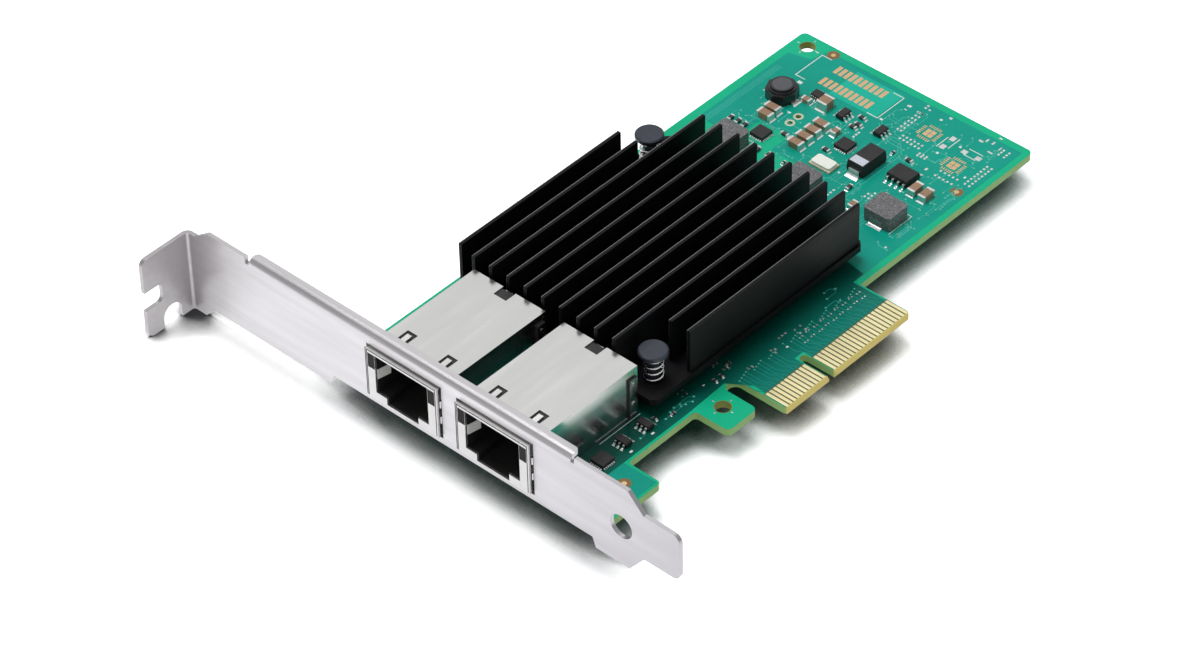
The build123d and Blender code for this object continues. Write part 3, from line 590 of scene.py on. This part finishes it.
def seen_directly(tree):
    """1 for rays that show the background: from the camera, or by way of metal or glass."""
    path = tree.nodes.new("ShaderNodeLightPath")
    total = path.outputs["Is Camera Ray"]
    for name in ("Is Glossy Ray", "Is Transmission Ray"):
        adder = tree.nodes.new("ShaderNodeMath")
        adder.operation = "ADD"
        adder.use_clamp = True
        tree.links.new(total, adder.inputs[0])
        tree.links.new(path.outputs[name], adder.inputs[1])
        total = adder.outputs["Value"]
    return total


def light_world():
    """White to the camera, a softbox to what mirrors it, and an even fill to plain surfaces."""
    world = bpy.data.worlds.new("studio")
    bpy.context.scene.world = world
    world.use_nodes = True
    tree = world.node_tree
    background = tree.nodes["Background"]
    background.inputs["Color"].default_value = (1, 1, 1, 1)
    path = tree.nodes.new("ShaderNodeLightPath")
    seen = tree.nodes.new("ShaderNodeMapRange")
    seen.inputs["To Max"].default_value = 1.0
    tree.links.new(softbox_shade(tree), seen.inputs["To Min"])
    tree.links.new(path.outputs["Is Camera Ray"], seen.inputs["Value"])
    strength = tree.nodes.new("ShaderNodeMapRange")
    strength.inputs["To Min"].default_value = WORLD_FILL
    tree.links.new(seen.outputs["Result"], strength.inputs["To Max"])
    tree.links.new(seen_directly(tree), strength.inputs["Value"])
    tree.links.new(strength.outputs["Result"], background.inputs["Strength"])


def lay_floor():
    """Pale floor that glows white to the camera, except close to the card, where it darkens."""
    mesh = bmesh.new()
    bmesh.ops.create_grid(mesh, x_segments=8, y_segments=8, size=4.0)
    data = bpy.data.meshes.new("floor")
    mesh.to_mesh(data)
    mesh.free()
    floor = add_object("floor", data)
    floor.location.z = cad_box[0][2] - FLOOR_GAP
    paint = Finish("pale_floor", (0.93, 0.93, 0.94), 0.5)
    paint.blend(paint.ramp(paint.noise(6), 0.3, 0.8, 0.0, 0.3), (0.91, 0.92, 0.94))
    nearness = paint.tree.nodes.new("ShaderNodeAmbientOcclusion")
    nearness.samples = 8
    nearness.inputs["Distance"].default_value = SHADOW_REACH
    # 1 in the open, and less the closer a form stands over the floor
    open_share = nearness.outputs["AO"]
    by_camera = paint.tree.nodes.new("ShaderNodeLightPath").outputs["Is Camera Ray"]
    paint.blend(paint.times(paint.ramp(open_share, 0.84, 0.5, 0.0, 0.96), by_camera), SHADOW_TONE)
    paint.shader.inputs["Emission Color"].default_value = (1, 1, 1, 1)
    covered = paint.times(paint.ramp(open_share, 0.9, 0.6), by_camera)
    uncovered = paint.ramp(covered, 0.0, 1.0, 1.0, 0.0)
    strength = paint.times(paint.ramp(by_camera, 0.0, 1.0, FLOOR_SHEEN, FLOOR_GLOW), uncovered)
    glow = paint.times(strength, seen_directly(paint.tree))
    paint.link(glow, paint.shader.inputs["Emission Strength"])
    data.materials.append(paint.material)


def area_lamp(name, spot, size, power):
    """Rectangular lamp that looks at the card's middle."""
    lamp = bpy.data.lights.new(name, "AREA")
    lamp.shape = "RECTANGLE"
    lamp.size, lamp.size_y = size
    lamp.energy = power
    made = add_object(name, lamp)
    made.location = spot
    made.rotation_euler = Vector(spot).to_track_quat("Z", "Y").to_euler()


def light_studio():
    area_lamp("overhead_softbox", (0.02, 0.26, 1.02), (0.5, 0.5), KEY_POWER)
    area_lamp("front_left_softbox", (-0.95, 0.05, 0.45), (0.7, 0.6), SIDE_POWER)


# Places read from the solids

def solids_of(node):
    """Lowest and highest corner, in board millimetres, of each separate solid of a CAD node."""
    mesh = bmesh.new()
    mesh.from_mesh(frame["nodes"][node].data)
    bmesh.ops.remove_doubles(mesh, verts=mesh.verts, dist=1e-6)
    left = set(mesh.verts)
    boxes = []
    while left:
        group = [left.pop()]
        for corner in group:
            for edge in corner.link_edges:
                other = edge.other_vert(corner)
                if other in left:
                    left.remove(other)
                    group.append(other)
        spots = [(corner.co - ORIGIN) / MM for corner in group]
        low = Vector(min(spot[i] for spot in spots) for i in range(3))
        high = Vector(max(spot[i] for spot in spots) for i in range(3))
        boxes.append((low, high))
    mesh.free()
    return sorted(boxes, key=lambda box: tuple(box[0]))


def middle(box):
    return (box[0] + box[1]) / 2


# Board

def build_copper_planes():
    """Copper areas that show through the mask as darker green: the far half, then the header's,
    the foot's and the inner copper, with painted shade between the sockets and the heatsink's far end."""
    split_x = 87.3
    shade_x = 82.2
    low_y, top_y = 13.4, 66.6
    far_x = 128.6
    sheet_with_holes(
        "copper_under_mask", [
            (shade_x, low_y), (far_x, low_y), (far_x, 60.8), (124.4, 61.8), (123.2, top_y),
            (3.0, top_y), (3.0, 64.8), (97.0, 64.8), (97.0, 57.0), (104.0, 57.0), (104.0, 49.6),
            (98.4, 49.6), (98.4, 42.0), (split_x, 42.0), (split_x, 20.0), (shade_x + 1.0, 20.0)],
        [circle(*spot, VIA_WINDOW_R, 20) for spot in POWER_VIAS], 0.0, PLANE_TOP, GLOSS_MASK)
    sheet_with_holes(
        "header_copper_under_mask", [(118.6, 41.0), (127.4, 41.0), (127.4, 52.5), (118.6, 52.5)],
        [], PLANE_TOP * 0.4, PLANE_TOP + 0.004, PAD_MASK)
    sheet_with_holes(
        "foot_copper_under_mask", [(2.0, 5.0), (15.9, 5.0), (15.9, 12.6), (2.0, 12.6)],
        [circle(*FOOT_FIDUCIAL, FIDUCIAL_WINDOW_R, 20)], 0.0, PLANE_TOP, GLOSS_MASK)
    # Inner copper sheet, darkened as painted shade under and beside the sockets and heatsink
    sheet_with_holes(
        "shaded_inner_copper_under_mask", [
            (2.0, 64.8), (2.0, 12.6), (15.8, 12.6), (33.0, 12.6),
            (43.0, 13.0), (46.0, 8.6), (46.0, 5.7), (56.3, 5.7), (56.3, 7.9), (58.7, 7.9), (58.7, 5.7),
            (79.2, 5.7), (79.2, low_y), (shade_x, low_y), (shade_x + 1.0, 20.0), (split_x, 20.0),
            (split_x, 64.8)],
        [], 0.0, PLANE_TOP, SHADED_MASK)


def build_tracks():
    """Tracks under the mask: the routes round the capacitor, the finger fan-outs, the rest short."""
    tracks = Shapes()
    fans = Shapes()
    dots = Shapes()
    draw_routes(tracks)
    draw_fan_outs(fans, dots)
    # Two corners, the number of tries and the group of each zone that short tracks are drawn in
    zones = (((92.0, 14.5), (126.5, 64.0), 190, tracks), ((60.0, 11.6), (79.0, 15.6), 8, fans),
             ((17.0, 13.9), (44.0, 15.6), 14, fans), ((88.5, 14.4), (112.0, 17.6), 22, tracks))
    for low, high, count, group in zones:
        for _ in range(count):
            scatter_track(low, high, group, tracks, dots)
    tracks.piece("mask_covered_tracks", TRACK_MASK)
    fans.piece("finger_fan_out", DIM_TRACK_MASK)
    dots.piece("via_mouths", VIA_GREEN)


def draw_routes(tracks):
    """Bundles of side-by-side tracks that the photograph shows one by one."""
    width, wide = 0.2, 0.24
    # Each shift is one track's distance from the bundle's first
    for shift in (0.0, 0.8):
        tracks.track([(91.0, 30.9 - shift), (113.3, 30.9 - shift), (115.5 + shift, 32.8),
                      (115.9 + shift, 37.5), (118.0 + shift, 39.4)], wide, PLANE_TOP, TRACK_TOP)
    for shift in (0.0, 0.7, 1.4):
        far_y = 64.6 + shift * 0.7
        for path in ([(91.0, 24.2 - shift), (101.2, 24.2 - shift), (103.5, 22.6 - shift)],
                     [(98.8, 35.9 - shift), (103.4, 35.9 - shift)], [(119.0, far_y), (92.0, far_y)]):
            tracks.track(path, width, PLANE_TOP, TRACK_TOP)


def draw_fan_outs(fans, dots):
    """One thin track from each finger, leaning off to a via in an uneven row."""
    via_y, width = 10.2, 0.16
    for index, (low, high) in enumerate(solids_of("edge_contacts_component_side")):
        x, top = middle((low, high)).x, high.y
        lean = 1.1 + 0.25 * (index % 4)
        rise = top + 0.6 + 0.45 * (index % 3)
        end_x = x - lean * 0.6
        fans.track([(x, top - 0.1), (x, rise), (end_x, rise + lean), (end_x, via_y + lean)],
                   width, PLANE_TOP, TRACK_TOP)
        via(dots, fans, end_x, via_y + lean)


def scatter_track(low, high, group, vias, dots):
    """A short track with one bend, at a random place between two corners of the board."""
    x = random.uniform(low[0], high[0])
    y = random.uniform(low[1], high[1])
    run = random.uniform(1.0, 4.2)
    corner = 0.7
    bend_shade = random.choice((-corner, corner))
    path = [(x, y), (x, y + run), (x + bend_shade, y + run + corner)]
    if random.random() < 0.55:
        path = [(x, y), (x + run, y), (x + run + corner, y + bend_shade)]
    inside = all(low[0] < px < high[0] and low[1] < py < high[1] for px, py in path)
    if inside and not over_header(path):
        rise = TRACK_TOP + random.uniform(0.0, 0.004)
        group.track(path, random.choice((0.14, 0.18, 0.26)), PLANE_TOP, rise)
        via(dots, vias, *path[0])
        via(dots, vias, *path[-1])


def over_header(path):
    """Whether a path runs over the header's copper, which stays plain."""
    return any(x > 117.5 and y > 39.5 for x, y in path)


def via(dots, rims, x, y):
    """Small plated hole, filled over by mask: a raised disc with a paler dot on it."""
    rims.disc(x, y, 0.26, PLANE_TOP, TRACK_TOP, 10)
    dots.disc(x, y, 0.12, PLANE_TOP, TRACK_TOP + 0.004, 8)


def build_finger_windows():
    """Bare laminate between the plated fingers on both sides, where the mask stops short."""
    windows = Shapes()
    thick = 0.03
    fingers = solids_of("edge_contacts_component_side")
    gap = max(range(1, len(fingers)), key=lambda i: fingers[i][0].x - fingers[i - 1][0].x)
    for group in (fingers[:gap], fingers[gap:]):
        x0, x1 = group[0][0].x - 0.1, group[-1][1].x + 0.1
        y0, y1 = group[0][0].y + 0.02, group[0][1].y + 0.25
        for z in (0.0, -BOARD_T - thick):
            windows.block(x0, x1, y0, y1, z, z + thick)
    windows.piece("finger_windows", WINDOW_OLIVE)


def build_header_pads():
    """Two rows of bare gold pads of a header that isn't fitted."""
    pads = Shapes()
    pitch = 1.27
    for x in (120.9, 125.3):
        for i in range(10):
            pads.pad(x, 44.3 + pitch * i, 2.4, 0.86, 0.0, PAD_TOP)
    pads.piece("header_pads", BARE_GOLD)


def build_tinned_pads():
    """Unfitted places: pairs of pads over the long tab, then grids and single pads, mostly far off."""
    tin = Shapes()
    for i in range(9):
        for j in range(2):
            x, y = 61.2 + 2.0 * i + 0.3 * j, 9.3 + 1.5 * j + 0.2 * (i % 2)
            for way in (-0.38, 0.38):
                tin.pad(x + way, y, 0.3, 0.34, 0.0, PAD_TOP)
    # Near corner, number across and up, and the steps of each grid of pads
    grids = (
        (117.0, 28.9, 2, 6, 1.0, 0.92), (118.9, 34.8, 7, 2, 1.08, 0.8), (115.3, 26.1, 2, 3, 0.65, 0.85),
        (114.5, 14.7, 8, 2, 0.95, 1.05), (112.8, 17.6, 2, 5, 1.7, 0.98), (125.4, 15.1, 3, 2, 0.8, 1.3),
        (111.6, 40.4, 3, 1, 0.8, 1.0), (99.4, 26.6, 2, 2, 1.0, 0.9), (95.2, 33.0, 3, 1, 0.9, 1.0),
        (35.5, 16.3, 2, 2, 1.25, 1.25), (62.2, 11.6, 2, 2, 1.5, 1.3), (58.6, 13.6, 3, 1, 0.9, 1.0))
    for x0, y0, across, up, step_x, step_y in grids:
        for i in range(across):
            for j in range(up):
                tin.pad(x0 + i * step_x, y0 + j * step_y, 0.5, 0.42, 0.0, PAD_TOP)
    # Place and size of each single pad
    for x, y, size_x, size_y in (
            (120.4, 25.8, 1.3, 1.1), (123.4, 25.8, 1.3, 1.1), (121.8, 21.7, 1.1, 1.2),
            (121.9, 18.5, 1.1, 1.2), (126.4, 21.4, 0.5, 1.0), (127.3, 20.6, 0.9, 0.4),
            (127.4, 19.2, 0.9, 0.4), (124.8, 18.0, 0.4, 1.2), (126.9, 17.2, 1.0, 0.3),
            (125.7, 38.3, 0.5, 0.9),
            (125.4, 35.9, 0.5, 0.5), (125.4, 34.9, 0.5, 0.5), (127.3, 35.6, 0.4, 0.5),
            (128.1, 35.6, 0.4, 0.5), (127.3, 34.6, 0.4, 0.5), (126.5, 31.1, 0.4, 0.6),
            (128.0, 30.0, 0.5, 0.7), (113.1, 23.9, 0.7, 0.5), (48.8, 12.4, 0.4, 0.6),
            (49.7, 12.2, 0.4, 0.6), (55.1, 12.5, 0.4, 0.5), (55.9, 12.1, 0.4, 0.5),
            (55.3, 11.5, 0.4, 0.5), (46.6, 15.2, 0.4, 0.7), (45.7, 15.6, 0.4, 0.7)):
        tin.pad(x, y, size_x, size_y, 0.0, PAD_TOP)
    tin.piece("bare_tinned_pads", SOLDER)


def build_copper_footprints():
    """Two unfitted leadless chips: a centre pad in four quarters, with six leads on each side."""
    copper = Shapes()
    pitch = 0.5
    lead_long, lead_wide = 0.72, 0.24
    for centre_x, centre_y in ((121.8, 30.2), (117.3, 20.8)):
        for u in (-0.55, 0.55):
            for v in (-0.55, 0.55):
                copper.pad(centre_x + u, centre_y + v, 0.98, 0.98, 0.0, PAD_TOP)
        for i in range(6):
            along = (i - 2.5) * pitch
            for side in (-1.9, 1.9):
                copper.pad(centre_x + side, centre_y + along, lead_long, lead_wide, 0.0, PAD_TOP)
                copper.pad(centre_x + along, centre_y + side, lead_wide, lead_long, 0.0, PAD_TOP)
    copper.piece("bare_copper_footprints", BARE_GOLD)


def build_marks():
    """White ink: plain placement lines and blocks, with no lettering."""
    ink = Shapes()
    line, thin = 0.2, 0.16
    left, right, low, high = 118.9, 126.9, 40.6, 61.0
    ink.track([(left, 43.2), (left, low), (right, low), (right, 43.2)], line, PLANE_TOP, INK_TOP)
    ink.track([(left, 58.6), (left, high), (right, high), (right, 58.6)], line, PLANE_TOP, INK_TOP)
    ink.track([(16.6, 18.9), (27.2, 18.9)], thin, PLANE_TOP, INK_TOP)
    for path in (((119.6, 26.8), (123.2, 26.8)), ((120.6, 24.7), (124.2, 24.7)),
                 ((123.1, 21.6), (123.1, 18.3)), ((121.1, 21.4), (121.1, 18.6))):
        ink.track(path, line, PLANE_TOP, INK_TOP)
    for x, y, size_x, size_y in (
            (118.2, 25.4, 0.9, 0.9), (126.4, 31.1, 0.9, 0.8), (122.4, 23.2, 0.8, 0.9),
            (115.9, 16.9, 0.9, 0.7), (129.4, 19.0, 0.6, 1.3), (119.1, 39.8, 0.8, 1.2),
            (126.9, 62.2, 0.5, 0.8), (117.6, 58.8, 1.3, 1.7), (109.2, 54.3, 0.8, 1.1),
            (101.6, 35.6, 0.8, 0.7), (101.3, 26.6, 0.7, 0.9), (125.9, 38.1, 0.5, 0.8),
            (124.4, 38.2, 0.4, 1.0), (95.2, 53.2, 0.4, 0.9), (102.8, 24.9, 0.5, 1.4),
            (24.9, 13.8, 1.2, 0.7), (18.9, 13.5, 1.2, 0.7), (40.2, 15.4, 0.9, 0.5),
            (57.8, 10.9, 0.9, 0.6), (90.6, 15.2, 0.8, 0.6)):
        ink.pad(x, y, size_x * 0.6, size_y * 0.6, PLANE_TOP, INK_TOP)
    for near, far in solids_of("power_inductors"):
        y = near.y - 0.3
        ink.track([(near.x - 0.3, y), (far.x + 0.5, y), (far.x + 0.5, y + 2.2)], thin, PLANE_TOP, INK_TOP)
    ink.piece("placement_lines", WHITE_INK)


def build_fiducials():
    """Round aiming marks of the assembly machine: a bare dot in a window of the mask."""
    rings = Shapes()
    dots = Shapes()
    dot_r = 0.5
    for x, y in FIDUCIALS:
        rings.ring(x, y, dot_r, FIDUCIAL_WINDOW_R, 0.0, PLANE_TOP + 0.012)
        dots.disc(x, y, dot_r, 0.0, PAD_TOP + 0.01)
    rings.piece("fiducial_windows", RING_BROWN)
    dots.piece("fiducial_dots", BARE_GOLD)


def build_hole_rings():
    """Plated mouths of the power vias, and tin marks and a cut wall at each mounting hole."""
    rings = Shapes()
    for x, y in POWER_VIAS:
        rings.ring(x, y, 0.56, 1.0, 0.0, PAD_TOP)
    rings.piece("power_via_rings", PALE_GOLD)
    ticks = Shapes()
    walls = Shapes()
    wall_r, wall_out_r = 1.58, 1.66
    for (x, y), reach in zip(MOUNTING_HOLES, (2.25, 2.2)):
        for i in range(4):
            turn = math.pi / 2 * i
            ticks.pad(x + reach * math.cos(turn), y + reach * math.sin(turn), 0.5, 0.22, 0.0, PAD_TOP, turn)
        walls.ring(x, y, wall_r, wall_out_r, -BOARD_T + 0.01, 0.012)
    ticks.piece("mounting_hole_ticks", SOLDER)
    walls.piece("mounting_hole_walls", HOLE_WALL)


# Parts on the board

def build_solder():
    """Solder under and beside the terminals of the parts."""
    solder = Shapes()
    solder_end_caps(solder)
    solder_inductors(solder)
    solder_tantalum(solder)
    for body, leads in (("small_regulators", "small_regulator_leads"),
                        ("memory_chip", "memory_chip_leads"),
                        ("supervisor_chip", "supervisor_chip_leads")):
        solder_leads(solder, body, leads)
    solder.piece("solder_fillets", SOLDER)


def nearest(spots, centre):
    return min(spots, key=lambda spot: (spot - centre).length)


def solder_end_caps(solder):
    """A slope at the outer face of each chip part's cap, higher on taller parts."""
    sunk = 0.01
    for kind in ("large_capacitor", "bulk_capacitor", "mid_capacitor", "small_chip", "tiny_chip"):
        bodies = [middle(box) for box in solids_of(kind + "_bodies")]
        for low, high in solids_of(kind + "_end_caps"):
            centre = middle((low, high))
            along = centre - nearest(bodies, centre)
            turn = math.atan2(round(along.y, 1), round(along.x, 1))
            deep, wide = (high - low).xy
            if abs(along.x) <= abs(along.y):
                deep, wide = wide, deep
            edge = deep / 2 - sunk
            x, y = centre.x + edge * math.cos(turn), centre.y + edge * math.sin(turn)
            solder.fillet(x, y, wide * 0.94, 0.22 + 0.12 * high.z, high.z * 0.7, turn)


def solder_inductors(solder):
    """A wide, low slope at both ends of each square inductor."""
    for low, high in solids_of("power_inductors"):
        for x, turn in ((low.x, math.pi), (high.x, 0.0)):
            solder.fillet(x, middle((low, high)).y, 3.0, 0.8, 0.4, turn)


def solder_tantalum(solder):
    """A slope at each end of the tantalum capacitor."""
    sunk = 0.02
    near, far = solids_of("tantalum_terminals")
    solder.fillet(near[0].x + sunk, middle(near).y, 2.6, 1.0, 0.9, math.pi)
    solder.fillet(far[1].x - sunk, middle(far).y, 2.6, 1.0, 0.9, 0.0)


def solder_leads(solder, body_node, lead_node):
    """A small slope at the tip of each lead, pointing away from the lead's own body."""
    sunk = 0.04
    bodies = [middle(box) for box in solids_of(body_node)]
    for low, high in solids_of(lead_node):
        centre = middle((low, high))
        body = nearest(bodies, centre)
        long_x, long_y = (high - low).xy
        if long_x > long_y:
            turn, wide = (0.0 if centre.x > body.x else math.pi), long_y
            x, y = (high.x if centre.x > body.x else low.x), centre.y
        else:
            turn, wide = math.copysign(math.pi / 2, centre.y - body.y), long_x
            x, y = centre.x, (high.y if centre.y > body.y else low.y)
        solder.fillet(x - sunk * math.cos(turn), y - sunk * math.sin(turn), wide * 1.25, 0.3, 0.16, turn)


def build_inductor_terminals():
    """Tinned straps that rise from under the square inductors in a shallow recess of each end."""
    straps = Shapes()
    half_wide = 1.35
    for low, high in solids_of("power_inductors"):
        y = middle((low, high)).y
        for x, way in ((low.x, -1), (high.x, 1)):
            near, far = sorted((x - way * 0.05, x + way * 0.045))
            straps.block(near, far, y - half_wide, y + half_wide, 0.06, 1.45)
    straps.piece("inductor_straps", STRAP_GREY)


def build_converter_pads():
    """Side terminals of the leadless chips, flush with the body and wetted out onto the board."""
    pads = Shapes()
    pitch, sunk = 0.48, 0.01
    size = (0.24, 0.34, 0.22)
    for low, high in solids_of("power_converters"):
        centre = middle((low, high))
        edge = (high.x - low.x) / 2 - sunk
        for i in range(6):
            along = (i - 2.5) * pitch
            for side, turn in ((-1, math.pi), (1, 0.0)):
                pads.fillet(centre.x + side * edge, centre.y + along, *size, turn)
                pads.fillet(centre.x + along, centre.y + side * edge, *size, side * math.pi / 2)
    pads.piece("leadless_chip_terminals", SOLDER)


def build_chip_dimples():
    """Shallow ring that marks the first lead, at its distance in from the corner of a moulded top."""
    rings = Shapes()
    for node, in_x, in_y in (("memory_chip", 0.72, 0.76), ("power_converters", 0.6, 0.6)):
        for low, high in solids_of(node):
            rings.ring(low.x + in_x, high.y - in_y, 0.17, 0.24, high.z - 0.02, high.z + 0.006, 16)
    rings.piece("first_lead_marks", MATERIALS["dark_ceramic"])


def build_tantalum_stripe():
    """Pale band that marks the capacitor's positive end."""
    low, high = place_of("tantalum_capacitor")
    stripe = Shapes()
    inset, reach = 0.36, 2.3
    stripe.block(low.x + inset, low.x + reach, low.y + inset, high.y - inset, high.z - 0.01, high.z + 0.008)
    stripe.piece("tantalum_end_stripe", STRIPE_INK)


def build_drum_details():
    """Polished rim and matt face of the drum, and its two wetted terminals."""
    low, high = place_of("drum_inductor")
    x, y = middle((low, high)).xy
    face_r, rim_in_r, rim_out_r = 1.95, 2.12, 2.3
    face = Shapes()
    face.disc(x, y, face_r, high.z - 0.02, high.z + 0.01, 40)
    face.piece("drum_face", DRUM_GREY)
    rim = Shapes()
    rim.ring(x, y, rim_in_r, rim_out_r, high.z - 0.03, high.z + 0.03, 40)
    rim.piece("drum_rim", DRUM_RIM)
    ends = Shapes()
    reach = (high.y - low.y) / 2
    for side in (-1, 1):
        ends.pad(x, y + side * reach, 1.7, 0.5, 0.0, 0.5)
        ends.fillet(x, y + side * (reach + 0.2), 1.9, 0.5, 0.4, side * math.pi / 2)
    ends.piece("drum_terminals", SOLDER)


# Sockets, heatsink and springs

def build_jack_fronts():
    """Painted shadow in the front seams and rear folds of each socket's shield,
    and the pale springs on the walls of its mouth.
    """
    seam_shade = Shapes()
    springs = Shapes()
    fold_shade = Shapes()
    for number in (1, 2):
        low, high = place_of(f"port_{number}_shield")
        lights = solids_of(f"port_{number}_status_lights")
        draw_mouth_seam_shade(seam_shade, low, high, lights)
        draw_mouth_springs(springs, low, high, lights)
        draw_rear_fold_shade(fold_shade, low, high)
    seam_shade.piece("socket_front_seam_shade", PAINTED_SEAM_SHADOW)
    springs.piece("socket_side_springs", PALE_SPRING)
    fold_shade.piece("socket_rear_fold_shade", PAINTED_SEAM_SHADOW)


def draw_mouth_seam_shade(seam_shade, low, high, lights):
    """Painted shadow: three dark lines round the mouth, and one beside it where the shield laps over
    itself.
    """
    middle_y = middle((low, high)).y
    half = lights[1][1].y - middle_y + 0.35
    foot, top = 0.3, high.z - 0.42
    line, side_line, lap = 0.17, 0.14, 0.16
    for y0, y1, z0, z1 in (
            (-half, half, top, top + line), (-half, -half + side_line, foot, top),
            (half - side_line, half, foot, top), (half + lap, half + 2 * lap, foot, high.z)):
        seam_shade.block(low.x - 0.03, low.x + 0.05, middle_y + y0, middle_y + y1, z0, z1)


def draw_mouth_springs(springs, low, high, lights):
    """A flat spring on each wall of the mouth, leaning inward, just below the status lights."""
    middle_y = middle((low, high)).y
    mouth_half = lights[1][0].y - middle_y - 0.3
    near_x, far_x = low.x + 0.35, low.x + 3.1
    lean, thick = 0.55, 0.15
    lights_z = lights[0][0].z
    for side in (-1, 1):
        wall = middle_y + side * mouth_half
        springs.prism([(near_x, wall), (far_x, wall - side * lean), (far_x, wall - side * (lean + thick)),
                       (near_x, wall - side * thick)], lights_z - 2.3, lights_z - 0.1)


def draw_rear_fold_shade(fold_shade, low, high):
    """Painted shade: a dark line down each wall and along each top edge, where the rear cover folds over.
    """
    line, half = 0.16, 0.32
    foot, top = 0.4, 9.1
    near_x, far_x = high.x - 2.6, high.x - 0.5
    for y in (low.y + 0.3, high.y - 0.3):
        fold_shade.block(near_x, near_x + line, y - half, y + half, foot, top)
        fold_shade.block(near_x, far_x, y - half, y + half, top, top + 0.14)


def build_fin_edges():
    """Painted highlight: light grey strips along the top corner and the near end of each fin."""
    highlights = Shapes()
    low, high = place_of("heatsink")
    strip, end_strip, proud = 0.13, 0.05, 0.006
    for x0, x1, y in fin_lines():
        highlights.block(x0, x1, y - strip, y, high.z - 0.02, high.z + proud)
        highlights.block(x0 - proud, x0 + 0.02, y - end_strip, y, low.z + 5.0, high.z)
    highlights.piece("painted_fin_edge_highlights", FIN_EDGE_HIGHLIGHT)


def fin_lines():
    """Near end, far end and outer face of each fin, read from the heatsink's own corners."""
    high_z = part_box("heatsink")[1].z
    tops = [(v.co - ORIGIN) / MM for v in frame["nodes"]["heatsink"].data.vertices
            if v.co.z > high_z - 0.01 * MM]
    rows = {}
    for spot in tops:
        rows.setdefault(round(spot.y, 2), []).append(spot.x)
    faces = sorted(rows)
    return [(min(rows[y]), max(rows[y]), y) for y in faces[1::2]]


def build_springs():
    """Round-wire coils in place of the plain ones, with their ends closed flat."""
    wire_r = 0.2
    turns, steps = 4.1, 24
    flat_share = 0.12
    count = int(turns * steps)
    for number in (1, 2):
        node = f"push_pin_spring_{number}"
        low, high = place_of(node)
        x, y = middle((low, high)).xy
        coil_r = (high.x - low.x) / 2 - wire_r
        curve = bpy.data.curves.new(f"spring_coil_{number}", "CURVE")
        curve.dimensions = "3D"
        curve.bevel_depth = wire_r * MM
        curve.bevel_resolution = 3
        curve.use_fill_caps = True
        spline = curve.splines.new("POLY")
        spline.points.add(count)
        for i, spot in enumerate(spline.points):
            share = i / count
            rise = min(max((share - flat_share) / (1 - 2 * flat_share), 0.0), 1.0)
            z = low.z + wire_r + rise * (high.z - low.z - 2 * wire_r)
            angle = 2 * math.pi * turns * share
            spot.co = (*at(x + coil_r * math.cos(angle), y + coil_r * math.sin(angle), z), 1)
        made = add_object(f"spring_coil_{number}", mesh_of_curve(curve))
        settle(made, MATERIALS["spring_steel"], smooth=True)
        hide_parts(node)


def build_joints_below():
    """Solder cones round the through-hole pins on the far side of the board."""
    cones = Shapes()
    profile = ((0.95, 0.0), (0.9, 0.06), (0.55, 0.35), (0.42, 0.9))
    for number in (1, 2):
        for low, high in solids_of(f"port_{number}_solder_pins"):
            x, y = middle((low, high)).xy
            cones.loft([[(px, py, -BOARD_T - z) for px, py in circle(x, y, r, 14)] for r, z in profile])
    cones.piece("solder_joints_below", SOLDER, smooth=True)


dress_frame()
set_camera()
light_world()
light_studio()
lay_floor()
build_copper_planes()
build_tracks()
build_finger_windows()
build_header_pads()
build_tinned_pads()
build_copper_footprints()
build_marks()
build_fiducials()
build_hole_rings()
build_solder()
build_inductor_terminals()
build_converter_pads()
build_chip_dimples()
build_tantalum_stripe()
build_drum_details()
build_jack_fronts()
build_fin_edges()
build_springs()
build_joints_below()

bpy.context.scene.view_settings.view_transform = "Standard"
